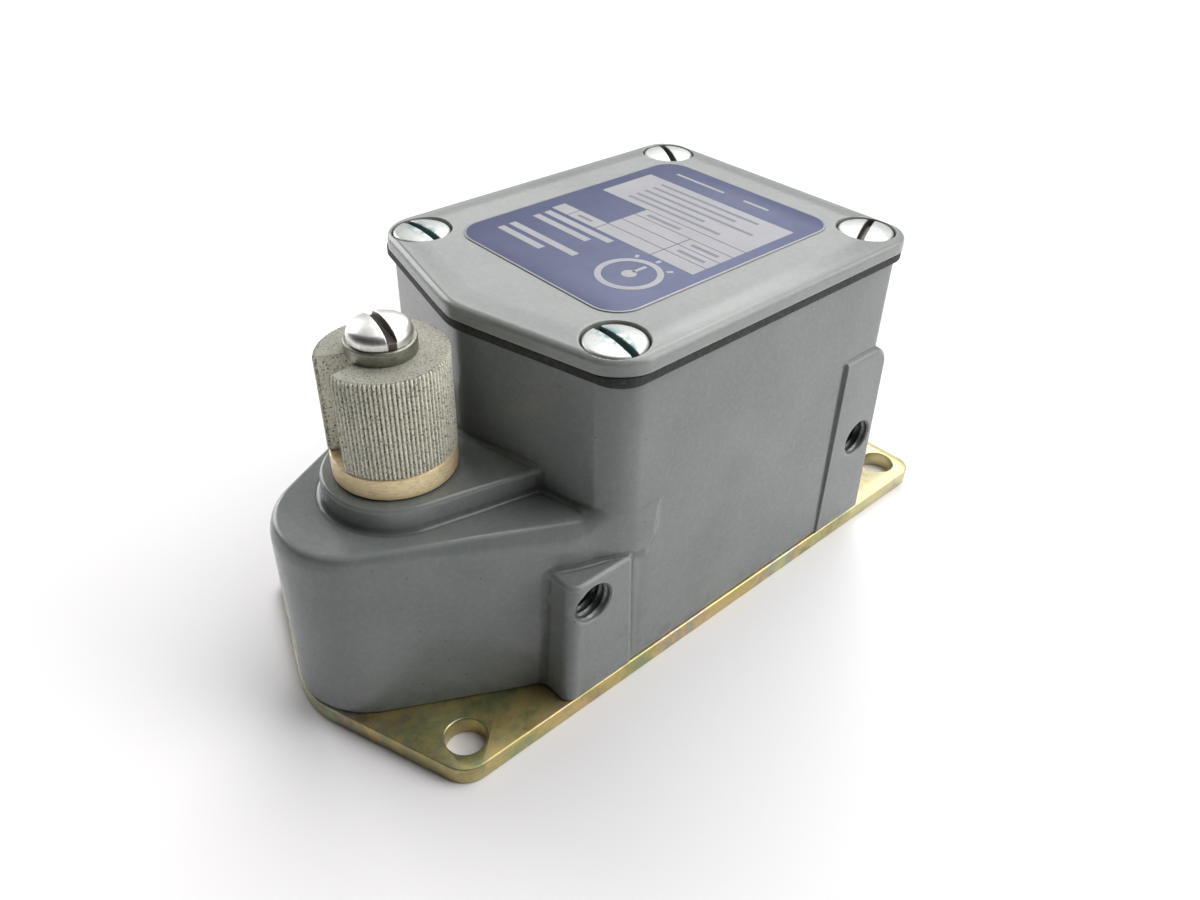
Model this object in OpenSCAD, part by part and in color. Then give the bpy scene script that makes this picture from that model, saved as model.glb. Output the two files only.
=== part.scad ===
// Rotary limit switch: die-cast box with a round-nosed head, a turning shaft
// with a serrated lever hub, and a steel mounting plate.
//
// Units are millimetres. Z is up from the underside of the mounting plate,
// Y runs along the switch with the shaft head at -Y and the conduit entry at
// +Y, and X is across it. The origin is under the middle of the plate.

/* [Mounting plate] */
// Thickness of the steel plate
plate_thickness = 3.6; // [3:0.1:4]
// Diameter of the four corner holes
plate_hole_diameter = 7.2; // [6.4:0.1:8]
// Spacing of the corner holes across the plate
plate_hole_span_x = 50.8; // [48:0.1:51]
// Spacing of the corner holes along the plate
plate_hole_span_y = 116.3; // [115:0.1:117]

/* [Housing] */
// Height of the joint face under the cover gasket
box_top = 62.9; // [60:0.1:66]
// Height of the flat top of the head
head_top = 38; // [37:0.1:39]
// Height of the raised pad the shaft comes through
pad_top = 42.3; // [41.5:0.1:42.4]
// Thickness of the box walls
wall = 3; // [2.6:0.1:3.4]
// Drilled diameter of the four side mounting holes, before tapping
side_hole_diameter = 6.6; // [5:0.1:7]
// Drilled diameter of the conduit entry, before tapping
conduit_diameter = 18.2; // [16:0.1:19]

/* [Cover] */
// Thickness of the rubber gasket under the cover
gasket_thickness = 1.6; // [1.2:0.1:1.8]
// Thickness of the cover
cover_thickness = 3.1; // [3:0.1:4]

/* [Lever hub] */
// Outer diameter over the serrations
hub_diameter = 20.4; // [19:0.1:21]
// Height of the serrated hub
hub_height = 17.1; // [14:0.1:18]
// Number of serrations
hub_serrations = 93; // [60:1:100]
// Angle of the gap down one side of the hub
hub_gap_angle = 37; // [20:1:45]

/* [Operating shaft] */
// Diameter of the shaft
shaft_diameter = 8; // [7:0.1:8.4]
// Distance from the shaft to the stud that drives the carriage
crank_radius = 16; // [15.8:0.1:16.2]

/* [Hidden] */
$fn = 64;
eps = 0.01;
running_gap = 0.04;
screw_gap = 0.05;

// Plate outline: a shallow V at the front, square at the rear.
plate_half_width = 31.75;
plate_half_length = 68.35;
plate_v_point = -69.39;
plate_v_slope = tan(20);
plate_hole_mid_y = 4.8;
plate_screw_positions = [[18, -38], [-18, -38], [18, 38], [-18, 38]];
plate_screw_radius = 2.5;
plate_screw_head_radius = 4.6;

// Box outline: a shallow V at the front, square at the rear.
box_half_width = 31;
box_v_point = -33.15;
box_v_slope = 0.239;
box_rear = 45.1;
cover_overhang = 0.9;
gasket_overhang = 0.8;
rim_radius = 1.4;

// Head outline: a round nose with sides that spread towards the box.
nose_y = -54.25;
nose_radius = 14;
head_spread = 28.3;
head_end_y = -19;
head_draft = 0.6;
head_edge = 2.4;
head_roof = 33.5;
head_wall = 3.4;

floor_top = 8;
shaft_y = -46;
shaft_radius = shaft_diameter / 2;
bushing_radius = 6;

// Raised pad around the shaft, running back into the box.
pad_radius = 12.3;
pad_flare = 16.8;
pad_foot_growth = 0.5;

// Side bosses and their tapped holes.
boss_face = 31.75;
side_hole_z = 24.5;
side_boss_front = [-36.3, -22.3];
side_boss_front_top = 29.6;
side_boss_rear = [32, 46.1];
side_boss_rear_top = 45;
side_boss_inner_radius = 6;
// Position along the housing and depth of each side hole.
side_holes = [[-30.8, 10], [40.4, 8.5]];
thread_chamfer = 0.6;
// Height of the cone that the drill leaves at the bottom of a side hole.
drill_point = side_hole_diameter / 2 * tan(31);

// Cover screws stand on posts in the corners of the box.
post_radius = 5.2;
screw_x = 25;
screw_y_front = -21.8;
screw_y_rear = 39.7;
cover_screw_radius = 2.6;
cover_screw_head_radius = 5.05;
cover_screw_recess_radius = 5.4;
cover_screw_seat = 0.8;
cover_screw_length = 13;

conduit_z = 36;
conduit_boss_radius = 13.5;
conduit_length = 9;

gasket_top = box_top + gasket_thickness;
cover_top = gasket_top + cover_thickness;

// Nameplate on the cover.
label_half_width = 21;
label_front = -18.3;
label_rear = 36.4;
label_thickness = 0.3;

// Lever hub stack on the shaft.
collar_radius = 10.1;
collar_bottom = pad_top + 0.3;
collar_top = 46.5;
hub_radius = hub_diameter / 2;
hub_top = collar_top + hub_height;
serration_depth = 0.45;
hub_gap_direction = -98.5;
spacer_radius = 5.5;
spacer_height = 2.3;
hub_screw_radius = 2;
hub_screw_head_radius = 5;
hub_screw_head_height = 1.8;
hub_screw_length = 14;
shaft_top = hub_top - 1;

// Crank inside the head and the carriage it drives.
lever_travel = 35;
stud_radius = 1.6;
stud_gap = 0.4;
crank_bottom = 25.4;
crank_thickness = 4;
crank_boss_radius = 8;
crank_boss_top = 31.4;
roll_pin_radius = 1;
ring_bottom = 32.2;
ring_thickness = 0.9;

// Moulded switch base and its channel.
base_half_width = 27.4;
base_front = -15.6;
base_rear = 31.5;
base_floor = 14;
channel_half_width = 10;
channel_wall_top = 20.4;
channel_end = 25.8;
terminal_ledge_top = 18;
terminal_ledge_inner = 14.5;
terminal_positions = [16.5, 26];
base_screw_positions = [[22.8, -12.5], [-22.8, -12.5], [0, 28]];
ground_screw_position = [-6, 37];

carriage_half_length = 10;
carriage_bottom = 14.3;
carriage_top = 25;
carriage_arm_bottom = 21;
yoke_half_width = 6;
yoke_front = -38;
arm_half_width = 3;
arm_side_wall = 0.7;
arm_floor = 1.6;
arm_rear = 29.5;

bridge_half_length = 7.5;
bridge_mid_y = (terminal_positions[0] + terminal_positions[1]) / 2;
bridge_thickness = 1;
bridge_bottom = 21.2;
bridge_top = 27;
contact_z = 25.4;
contact_radius = 1.5;
contact_thickness = 1;
fixed_tab_x = 12.7;
fixed_contact_thickness = 1.4;
fixed_tab_thickness = 1;

spring_radius = 3.2;
spring_wire = 0.45;

cast_grey = [0.45, 0.48, 0.48];
cover_grey = [0.62, 0.64, 0.64];
chromate = [0.72, 0.66, 0.42];
steel = [0.72, 0.72, 0.70];
bronze = [0.62, 0.45, 0.22];
rubber = [0.10, 0.10, 0.10];
mould = [0.16, 0.12, 0.10];
copper = [0.72, 0.42, 0.25];
silver = [0.82, 0.82, 0.80];

// ---- outline helpers ------------------------------------------------------

function unit(v) = v / norm(v);

// Half the inner angle at b between the edges to a and c.
function half_angle(a, b, c) = acos(unit(a - b) * unit(c - b)) / 2;

// Centre of a corner arc of radius r.
function arc_centre(a, b, c, r) =
    b + unit(unit(a - b) + unit(c - b)) * (r / sin(half_angle(a, b, c)));

// The two points where that arc leaves its edges.
function arc_ends(a, b, c, r) =
    [for (p = [a, c]) b + unit(p - b) * (r / tan(half_angle(a, b, c)))];

// A convex outline with a round of its own radius at every corner.
module rounded(points, radii) {
    count = len(points);
    polygon([
        for (i = [0:count - 1])
            each arc_ends(points[(i + count - 1) % count], points[i], points[(i + 1) % count], radii[i])
    ]);
    for (i = [0:count - 1]) {
        before = points[(i + count - 1) % count];
        after = points[(i + 1) % count];
        translate(arc_centre(before, points[i], after, radii[i]))
            circle(r = radii[i]);
    }
}

// The box outline, moved out by grow on every side.
module box_outline(grow) {
    half = box_half_width + grow;
    point = box_v_point - grow * sqrt(1 + box_v_slope * box_v_slope);
    shoulder = point + half * box_v_slope;
    rear = box_rear + grow;
    rounded(
        [[0, point], [half, shoulder], [half, rear], [-half, rear], [-half, shoulder]],
        [20 + grow, 6 + grow, 4.8 + grow, 4.8 + grow, 6 + grow]
    );
}

// The head outline, moved in by inset. Its sides spread until they reach the
// sides of the box and then run back along them.
module head_outline(inset) {
    r = nose_radius - inset;
    half = box_half_width - inset;
    tangent = [r * cos(head_spread), nose_y - r * sin(head_spread)];
    meet_y = tangent[1] + (half - tangent[0]) / tan(head_spread);
    translate([0, nose_y])
        circle(r = r);
    polygon([
        tangent,
        [half, meet_y],
        [half, head_end_y],
        [-half, head_end_y],
        [-half, meet_y],
        [-tangent[0], tangent[1]]
    ]);
}

module pad_outline(grow) {
    translate([0, shaft_y])
        circle(r = pad_radius + grow);
    polygon([
        [pad_radius + grow, shaft_y],
        [pad_flare + grow, -26],
        [-pad_flare - grow, -26],
        [-pad_radius - grow, shaft_y]
    ]);
}

module at_cover_screws() {
    for (x = [-screw_x, screw_x])
        for (y = [screw_y_front, screw_y_rear])
            translate([x, y, 0])
                children();
}

// On both sides, with Z running into the housing from the boss face.
module at_side_hole(y) {
    for (side = [-1, 1])
        translate([side * boss_face, y, side_hole_z])
            rotate([0, -90 * side, 0])
                children();
}

// A drilled hole going up from its mouth at the origin: broken edge, straight wall, pointed bottom.
module drilled_hole(depth) {
    radius = side_hole_diameter / 2;
    rotate_extrude()
        polygon([[0, -eps],
                 [radius + thread_chamfer + eps, -eps],
                 [radius, thread_chamfer],
                 [radius, depth],
                 [0, depth + drill_point]]);
}

// A helical spring along Z, standing on the origin.
module coil(radius, wire, height, turns) {
    linear_extrude(height = height, twist = -360 * turns, slices = turns * 18, $fn = 8)
        translate([radius - wire, 0])
            circle(r = wire);
}

// ---- base and housing -----------------------------------------------------

module base_plate() {
    shoulder = plate_v_point + plate_half_width * plate_v_slope;
    color(chromate)
        difference() {
            linear_extrude(plate_thickness)
                rounded(
                    [
                        [0, plate_v_point],
                        [plate_half_width, shoulder],
                        [plate_half_width, plate_half_length],
                        [-plate_half_width, plate_half_length],
                        [-plate_half_width, shoulder]
                    ],
                    [16, 5, 4, 4, 5]
                );
            for (x = [-1, 1])
                for (y = [-1, 1])
                    translate([x * plate_hole_span_x / 2, plate_hole_mid_y + y * plate_hole_span_y / 2, -1])
                        cylinder(h = plate_thickness + 2, d = plate_hole_diameter);
            for (p = plate_screw_positions)
                translate([p[0], p[1], 0]) {
                    translate([0, 0, -1])
                        cylinder(h = plate_thickness + 2, r = plate_screw_radius + screw_gap);
                    translate([0, 0, -eps])
                        cylinder(h = 2.2 + screw_gap, r1 = plate_screw_head_radius + screw_gap,
                                 r2 = plate_screw_radius + screw_gap);
                }
        }
}

// Countersunk screws that hold the casting to the plate from below.
module plate_screws() {
    color(steel)
        for (p = plate_screw_positions)
            translate([p[0], p[1], 0.1])
                difference() {
                    union() {
                        cylinder(h = 2.1, r1 = plate_screw_head_radius - 0.1, r2 = plate_screw_radius);
                        translate([0, 0, 2])
                            cylinder(h = 4.9, r = plate_screw_radius);
                    }
                    translate([-6, -0.55, -0.5])
                        cube([12, 1.1, 1.6]);
                }
}

module head_block() {
    hull() {
        translate([0, 0, plate_thickness])
            linear_extrude(head_top - head_edge - plate_thickness, $fn = 32)
                head_outline(head_draft / 2);
        translate([0, 0, head_top - head_edge])
            linear_extrude(head_edge * 0.6, $fn = 32)
                head_outline(head_draft / 2 + head_edge * 0.2);
        translate([0, 0, head_top - head_edge])
            linear_extrude(head_edge * 0.9, $fn = 32)
                head_outline(head_draft / 2 + head_edge * 0.56);
        translate([0, 0, head_top - head_edge])
            linear_extrude(head_edge, $fn = 32)
                head_outline(head_draft / 2 + head_edge);
    }
}

module shaft_pad() {
    hull() {
        translate([0, 0, head_top - 1])
            linear_extrude(1, $fn = 32)
                pad_outline(pad_foot_growth);
        translate([0, 0, head_top])
            linear_extrude(pad_top - head_top - 0.8, $fn = 32)
                pad_outline(0.2);
        translate([0, 0, head_top])
            linear_extrude(pad_top - head_top, $fn = 32)
                pad_outline(-0.5);
    }
}

module side_boss(y, top) {
    for (side = [-1, 1])
        translate([side > 0 ? 20 : -boss_face, y[0], plate_thickness])
            cube([boss_face - 20, y[1] - y[0], top - plate_thickness]);
}

// The hollow of the box and head, with the posts and bosses left standing.
module chamber() {
    difference() {
        union() {
            translate([0, 0, floor_top])
                linear_extrude(box_top)
                    box_outline(-wall);
            translate([0, 0, floor_top])
                linear_extrude(head_roof - floor_top)
                    head_outline(head_wall);
        }
        at_cover_screws()
            translate([0, 0, floor_top - 1])
                cylinder(h = box_top, r = post_radius);
        for (hole = side_holes)
            at_side_hole(hole[0])
                cylinder(h = hole[1] + drill_point + 1, r = side_boss_inner_radius);
        translate([0, box_rear - conduit_length, conduit_z])
            rotate([-90, 0, 0])
                cylinder(h = conduit_length, r = conduit_boss_radius);
        translate([0, shaft_y, floor_top - 1])
            cylinder(h = 5, r = bushing_radius + 2.5);
        for (p = plate_screw_positions)
            translate([p[0], p[1], floor_top - 1])
                cylinder(h = 2, r = plate_screw_radius + 2.5);
    }
}

module housing() {
    color(cast_grey)
        difference() {
            union() {
                translate([0, 0, plate_thickness])
                    linear_extrude(box_top - plate_thickness)
                        box_outline(0);
                head_block();
                shaft_pad();
                side_boss(side_boss_front, side_boss_front_top);
                side_boss(side_boss_rear, side_boss_rear_top);
            }
            chamber();
            // Bearing bores for the shaft.
            translate([0, shaft_y, 5.6])
                cylinder(h = pad_top, r = bushing_radius);
            // Tapped side mounting holes with a broken edge.
            for (hole = side_holes)
                at_side_hole(hole[0])
                    drilled_hole(hole[1]);
            // Cover screw holes.
            at_cover_screws()
                translate([0, 0, box_top - cover_screw_length])
                    cylinder(h = cover_screw_length + 1, r = cover_screw_radius + screw_gap);
            // Conduit entry through the rear wall.
            translate([0, box_rear - conduit_length - 1, conduit_z])
                rotate([-90, 0, 0])
                    cylinder(h = conduit_length + 2, d = conduit_diameter);
            translate([0, box_rear - 1.2, conduit_z])
                rotate([-90, 0, 0])
                    cylinder(h = 1.2 + eps, d1 = conduit_diameter, d2 = conduit_diameter + 2.4);
            // Blind holes for the plate screws, base screws and ground screw.
            for (p = plate_screw_positions)
                translate([p[0], p[1], plate_thickness - eps])
                    cylinder(h = 3.8, r = plate_screw_radius + screw_gap);
            for (p = base_screw_positions)
                translate([p[0], p[1], 5.2])
                    cylinder(h = 4, r = 1.55);
            translate([ground_screw_position[0], ground_screw_position[1], 5.2])
                cylinder(h = 4, r = 2.05);
        }
}

module cover_gasket() {
    color(rubber)
        translate([0, 0, box_top])
            difference() {
                linear_extrude(gasket_thickness)
                    box_outline(gasket_overhang);
                translate([0, 0, -1])
                    linear_extrude(gasket_thickness + 2)
                        difference() {
                            box_outline(-wall - 0.6);
                            at_cover_screws()
                                circle(r = post_radius + 0.8);
                        }
                at_cover_screws()
                    translate([0, 0, -1])
                        cylinder(h = gasket_thickness + 2, r = cover_screw_radius + 0.2);
            }
}

module cover() {
    color(cover_grey)
        difference() {
            hull() {
                translate([0, 0, gasket_top])
                    linear_extrude(cover_thickness - rim_radius, $fn = 32)
                        box_outline(cover_overhang);
                translate([0, 0, gasket_top])
                    linear_extrude(cover_thickness - rim_radius * 0.45, $fn = 32)
                        box_outline(cover_overhang - rim_radius * 0.16);
                translate([0, 0, gasket_top])
                    linear_extrude(cover_thickness - rim_radius * 0.12, $fn = 32)
                        box_outline(cover_overhang - rim_radius * 0.53);
                translate([0, 0, gasket_top])
                    linear_extrude(cover_thickness, $fn = 32)
                        box_outline(cover_overhang - rim_radius);
            }
            // Shallow hollow under the middle of the cover.
            translate([-18, -15, gasket_top - 1])
                cube([36, 50, 2.4]);
            at_cover_screws() {
                translate([0, 0, gasket_top - 1])
                    cylinder(h = cover_thickness + 2, r = cover_screw_radius + 0.2);
                translate([0, 0, gasket_top + cover_screw_seat])
                    cylinder(h = cover_thickness, r = cover_screw_recess_radius);
            }
        }
}

// A slotted screw with a slightly domed head, its head resting on Z = 0.
module slotted_screw(shank, length, head, rim, dome, slot) {
    ball = (head * head + dome * dome) / (2 * dome);
    difference() {
        union() {
            translate([0, 0, -length])
                cylinder(h = length + eps, r = shank);
            cylinder(h = rim, r = head);
            intersection() {
                translate([0, 0, rim + dome - ball])
                    sphere(r = ball);
                translate([0, 0, rim - eps])
                    cylinder(h = dome + 1, r = head);
            }
        }
        translate([-head - 1, -slot / 2, rim + dome - 1.7])
            cube([2 * head + 2, slot, 4]);
    }
}

module cover_screws() {
    turns = [0, -18, -67, -30];
    places = [
        [-screw_x, screw_y_front], [screw_x, screw_y_front],
        [screw_x, screw_y_rear], [-screw_x, screw_y_rear]
    ];
    color(steel)
        for (i = [0:3])
            translate([places[i][0], places[i][1], gasket_top + cover_screw_seat])
                rotate([0, 0, turns[i]])
                    slotted_screw(cover_screw_radius, cover_screw_length + 1, cover_screw_head_radius, 1.8, 0.8, 1.3);
}

module nameplate() {
    color([0.40, 0.43, 0.60])
        translate([0, 0, cover_top])
            linear_extrude(label_thickness)
                rounded(
                    [
                        [label_half_width, label_front],
                        [label_half_width, label_rear],
                        [-label_half_width, label_rear],
                        [-label_half_width, label_front]
                    ],
                    [5.5, 5, 5, 5.5]
                );
}

// ---- turning parts --------------------------------------------------------

module shaft() {
    color(steel)
        translate([0, shaft_y, 0])
            difference() {
                translate([0, 0, 6.2])
                    cylinder(h = shaft_top - 6.2, r = shaft_radius);
                translate([0, 0, shaft_top - hub_screw_length])
                    cylinder(h = hub_screw_length + 1, r = hub_screw_radius + screw_gap);
                translate([0, 0, ring_bottom - screw_gap])
                    difference() {
                        cylinder(h = ring_thickness + 2 * screw_gap, r = shaft_radius + 1);
                        translate([0, 0, -1])
                            cylinder(h = ring_thickness + 2, r = shaft_radius - 0.7);
                    }
                translate([-shaft_radius - 1, 0, crank_bottom + 4])
                    rotate([0, 90, 0])
                        cylinder(h = 2 * shaft_radius + 2, r = roll_pin_radius + 0.02);
            }
}

module shaft_collar() {
    color(chromate)
        translate([0, shaft_y, collar_bottom])
            difference() {
                cylinder(h = collar_top - collar_bottom, r = collar_radius);
                translate([0, 0, -1])
                    cylinder(h = 10, r = shaft_radius + 0.03);
            }
}

module knurled_hub() {
    step = 360 / hub_serrations;
    color([0.56, 0.56, 0.50])
        translate([0, shaft_y, collar_top])
            difference() {
                linear_extrude(hub_height)
                    polygon([
                        for (i = [0:hub_serrations - 1])
                            each [
                                [hub_radius * cos(i * step), hub_radius * sin(i * step)],
                                [(hub_radius - serration_depth) * cos((i + 0.5) * step),
                                 (hub_radius - serration_depth) * sin((i + 0.5) * step)]
                            ]
                    ]);
                translate([0, 0, -1])
                    cylinder(h = hub_height + 2, r = shaft_radius + 0.03);
                // The gap: a wedge with its point on the axis.
                rotate([0, 0, hub_gap_direction])
                    translate([0, 0, -1])
                        linear_extrude(hub_height + 2)
                            polygon([
                                [0, 0],
                                [hub_radius + 2, -(hub_radius + 2) * tan(hub_gap_angle / 2)],
                                [hub_radius + 2, (hub_radius + 2) * tan(hub_gap_angle / 2)]
                            ]);
            }
}

module hub_spacer() {
    color(steel)
        translate([0, shaft_y, hub_top])
            difference() {
                cylinder(h = spacer_height, r = spacer_radius);
                translate([0, 0, -1])
                    cylinder(h = spacer_height + 2, r = hub_screw_radius + 0.2);
            }
}

module hub_screw() {
    color(silver)
        translate([0, shaft_y, hub_top + spacer_height])
            rotate([0, 0, -15])
                slotted_screw(hub_screw_radius, hub_screw_length, hub_screw_head_radius,
                              hub_screw_head_height, 1.3, 1.3);
}

module upper_bushing() {
    color(bronze)
        translate([0, shaft_y, head_roof])
            difference() {
                cylinder(h = 6.6, r = bushing_radius - 0.01);
                translate([0, 0, -1])
                    cylinder(h = 9, r = shaft_radius + running_gap);
            }
}

module lower_bushing() {
    color(bronze)
        translate([0, shaft_y, 5.6])
            difference() {
                cylinder(h = 6.2, r = bushing_radius - 0.01);
                translate([0, 0, -1])
                    cylinder(h = 9, r = shaft_radius + running_gap);
            }
}

module shaft_seal() {
    color(rubber)
        translate([0, shaft_y, head_roof + 6.6])
            difference() {
                cylinder(h = pad_top - head_roof - 6.7, r = bushing_radius - 0.01);
                translate([0, 0, -1])
                    cylinder(h = 6, r = shaft_radius + running_gap);
            }
}

// An open snap ring in the groove under the upper bushing.
module retaining_ring() {
    color(steel)
        translate([0, shaft_y, ring_bottom])
            difference() {
                cylinder(h = ring_thickness, r = shaft_radius + 1.8);
                translate([0, 0, -1])
                    cylinder(h = ring_thickness + 2, r = shaft_radius - 0.68);
                translate([-2, 0, -1])
                    cube([4, shaft_radius + 3, ring_thickness + 2]);
            }
}

module crank_arm() {
    color(steel)
        translate([0, shaft_y, crank_bottom])
            difference() {
                union() {
                    cylinder(h = crank_boss_top - crank_bottom, r = crank_boss_radius);
                    translate([-4.5, 0, 0])
                        cube([9, crank_radius, crank_thickness]);
                    translate([0, crank_radius, 0])
                        cylinder(h = crank_thickness, r = 4.5);
                }
                translate([0, 0, -1])
                    cylinder(h = 10, r = shaft_radius + 0.02);
                translate([0, crank_radius, -1])
                    cylinder(h = crank_thickness + 2, r = stud_radius + 0.01);
                translate([-crank_boss_radius - 1, 0, 4])
                    rotate([0, 90, 0])
                        cylinder(h = 2 * crank_boss_radius + 2, r = roll_pin_radius + 0.02);
            }
}

module crank_stud() {
    color(silver)
        translate([0, shaft_y + crank_radius, carriage_arm_bottom + 0.2])
            cylinder(h = crank_bottom + crank_thickness - carriage_arm_bottom - 0.2, r = stud_radius);
}

module crank_roll_pin() {
    color(silver)
        translate([-crank_boss_radius + 0.4, shaft_y, crank_bottom + 4])
            rotate([0, 90, 0])
                difference() {
                    cylinder(h = 2 * crank_boss_radius - 0.8, r = roll_pin_radius);
                    translate([0, 0, -1])
                        cylinder(h = 2 * crank_boss_radius + 2, r = roll_pin_radius * 0.5);
                }
}

// ---- switch mechanism -----------------------------------------------------

// Insulating moulding with the channel the carriage slides in.
module switch_base() {
    color(mould)
        difference() {
            union() {
                translate([-base_half_width, base_front, floor_top])
                    cube([2 * base_half_width, base_rear - base_front, base_floor - floor_top]);
                translate([-base_half_width, base_front, floor_top])
                    cube([2 * base_half_width, -channel_half_width - base_front, channel_wall_top - floor_top]);
                translate([-base_half_width, channel_half_width, floor_top])
                    cube([2 * base_half_width, 2, channel_wall_top - floor_top]);
                for (side = [-1, 1]) {
                    translate([side > 0 ? channel_end : -base_half_width, base_front, floor_top])
                        cube([base_half_width - channel_end, channel_half_width + 2 - base_front,
                              carriage_top - floor_top]);
                    translate([side > 0 ? terminal_ledge_inner : -base_half_width, channel_half_width,
                               floor_top])
                        cube([base_half_width - terminal_ledge_inner, base_rear - channel_half_width,
                              terminal_ledge_top - floor_top]);
                    translate([side > 0 ? terminal_ledge_inner : -base_half_width, bridge_mid_y - 0.8,
                               floor_top])
                        cube([base_half_width - terminal_ledge_inner, 1.6, 27 - floor_top]);
                }
            }
            for (p = base_screw_positions)
                translate([p[0], p[1], floor_top - 1])
                    cylinder(h = 20, r = 1.6);
            for (side = [-1, 1])
                for (y = terminal_positions)
                    translate([side * 20.5, y, terminal_ledge_top - 6])
                        cylinder(h = 7, r = 1.55);
        }
}

module base_screws() {
    seat = [channel_wall_top, channel_wall_top, base_floor];
    color(steel)
        for (i = [0:2])
            translate([base_screw_positions[i][0], base_screw_positions[i][1], seat[i]])
                slotted_screw(1.5, seat[i] - 5.6, 2.5, 1.3, 0.7, 0.7);
}

// Sliding moulding: a block in the channel, a yoke the crank stud works in
// and an arm that carries the contact bridge.
module carriage() {
    slot_front = shaft_y + crank_radius * cos(lever_travel) - stud_radius - stud_gap;
    slot_rear = shaft_y + crank_radius + stud_radius + stud_gap;
    color([0.55, 0.30, 0.14])
        difference() {
            union() {
                translate([-carriage_half_length, -channel_half_width + 0.3, carriage_bottom])
                    cube([2 * carriage_half_length, 2 * channel_half_width - 0.6, carriage_top - carriage_bottom]);
                translate([-yoke_half_width, yoke_front, carriage_arm_bottom])
                    cube([2 * yoke_half_width, -yoke_front - channel_half_width + 1,
                          carriage_top - carriage_arm_bottom]);
                translate([-arm_half_width, channel_half_width - 1, carriage_arm_bottom])
                    cube([2 * arm_half_width, 4, carriage_top - carriage_arm_bottom]);
                for (y = [channel_half_width + 2.4, arm_rear - 2])
                    translate([-arm_half_width, y, carriage_arm_bottom - 0.2])
                        cube([2 * arm_half_width, 2, 6.4]);
                translate([-arm_half_width, channel_half_width + 2.4, carriage_arm_bottom - arm_floor])
                    cube([2 * arm_half_width, arm_rear - channel_half_width - 2.4, arm_floor]);
                for (side = [-1, 1])
                    translate([side > 0 ? arm_half_width - arm_side_wall : -arm_half_width,
                               channel_half_width + 2.4, carriage_arm_bottom - arm_floor])
                        cube([arm_side_wall, arm_rear - channel_half_width - 2.4, arm_floor + 2.4]);
            }
            translate([-stud_radius - stud_gap, slot_front, carriage_arm_bottom - 1])
                cube([2 * (stud_radius + stud_gap), slot_rear - slot_front, 6]);
            for (side = [-1, 1])
                translate([side * (carriage_half_length + eps), 0, 19])
                    rotate([0, -90 * side, 0])
                        cylinder(h = 2, r = spring_radius + 0.5);
            translate([-0.55, channel_half_width + 3, carriage_arm_bottom])
                cube([1.1, arm_rear - channel_half_width - 3.6, 8]);
        }
}

module return_spring_left() {
    color(steel)
        translate([-channel_end + 0.1, 0, 19])
            rotate([0, 90, 0])
                coil(spring_radius, spring_wire, channel_end - carriage_half_length + 1.8, 9);
}

module return_spring_right() {
    color(steel)
        translate([channel_end - 0.1, 0, 19])
            rotate([0, -90, 0])
                coil(spring_radius, spring_wire, channel_end - carriage_half_length + 1.8, 9);
}

module contact_bridge() {
    color(copper)
        translate([-0.5, bridge_mid_y - bridge_half_length, bridge_bottom])
            cube([bridge_thickness, 2 * bridge_half_length, bridge_top - bridge_bottom]);
}

// Silver buttons on both faces at each end of the bridge.
module moving_contacts() {
    color(silver)
        for (side = [-1, 1])
            for (y = terminal_positions)
                translate([side * 0.5, y, contact_z])
                    rotate([0, 90 * side, 0])
                        cylinder(h = contact_thickness, r = contact_radius);
}

// Light springs that seat the bridge in its slot.
module bridge_springs() {
    color(steel)
        for (side = [-1, 1])
            translate([side * 0.75, bridge_mid_y, 22.3])
                rotate([0, 90 * side, 0])
                    coil(1.1, 0.18, 1.35, 3);
}

module fixed_terminals() {
    color(copper)
        for (side = [-1, 1])
            for (y = terminal_positions)
                translate([side * fixed_tab_x, y, terminal_ledge_top])
                    mirror([side > 0 ? 0 : 1, 0, 0])
                        difference() {
                            union() {
                                translate([0, -2.5, 0])
                                    cube([12, 5, 1]);
                                translate([0, -2.5, 0])
                                    cube([fixed_tab_thickness, 5, 9.4]);
                            }
                            translate([20.5 - fixed_tab_x, 0, -1])
                                cylinder(h = 4, r = 1.7);
                        }
}

module fixed_contacts() {
    color(silver)
        for (side = [-1, 1])
            for (y = terminal_positions)
                translate([side * fixed_tab_x, y, contact_z])
                    rotate([0, -90 * side, 0])
                        cylinder(h = fixed_contact_thickness, r = contact_radius);
}

module wire_clamps() {
    color(chromate)
        for (side = [-1, 1])
            for (y = terminal_positions)
                translate([side * 20.5, y, terminal_ledge_top + 1])
                    difference() {
                        translate([-3, -2.8, 0])
                            cube([6, 5.6, 1]);
                        translate([0, 0, -1])
                            cylinder(h = 3, r = 1.7);
                    }
}

module terminal_screws() {
    color(steel)
        for (side = [-1, 1])
            for (y = terminal_positions)
                translate([side * 20.5, y, terminal_ledge_top + 2])
                    slotted_screw(1.5, 7, 2.7, 1.4, 0.6, 0.7);
}

// Earth screw on the casting floor, near the conduit entry.
module ground_screw() {
    color([0.20, 0.45, 0.25])
        translate([ground_screw_position[0], ground_screw_position[1], floor_top])
            slotted_screw(2, 2.6, 3.6, 1.6, 0.9, 0.9);
}

base_plate();
plate_screws();
housing();
cover_gasket();
cover();
cover_screws();
nameplate();
shaft();
shaft_collar();
knurled_hub();
hub_spacer();
hub_screw();
upper_bushing();
lower_bushing();
shaft_seal();
retaining_ring();
crank_arm();
crank_stud();
crank_roll_pin();
switch_base();
base_screws();
carriage();
return_spring_left();
return_spring_right();
contact_bridge();
moving_contacts();
bridge_springs();
fixed_terminals();
fixed_contacts();
wire_clamps();
terminal_screws();
ground_screw();
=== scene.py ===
import math

import bmesh
import bpy
import numpy as np
from mathutils import Euler, Matrix, Vector


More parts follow.
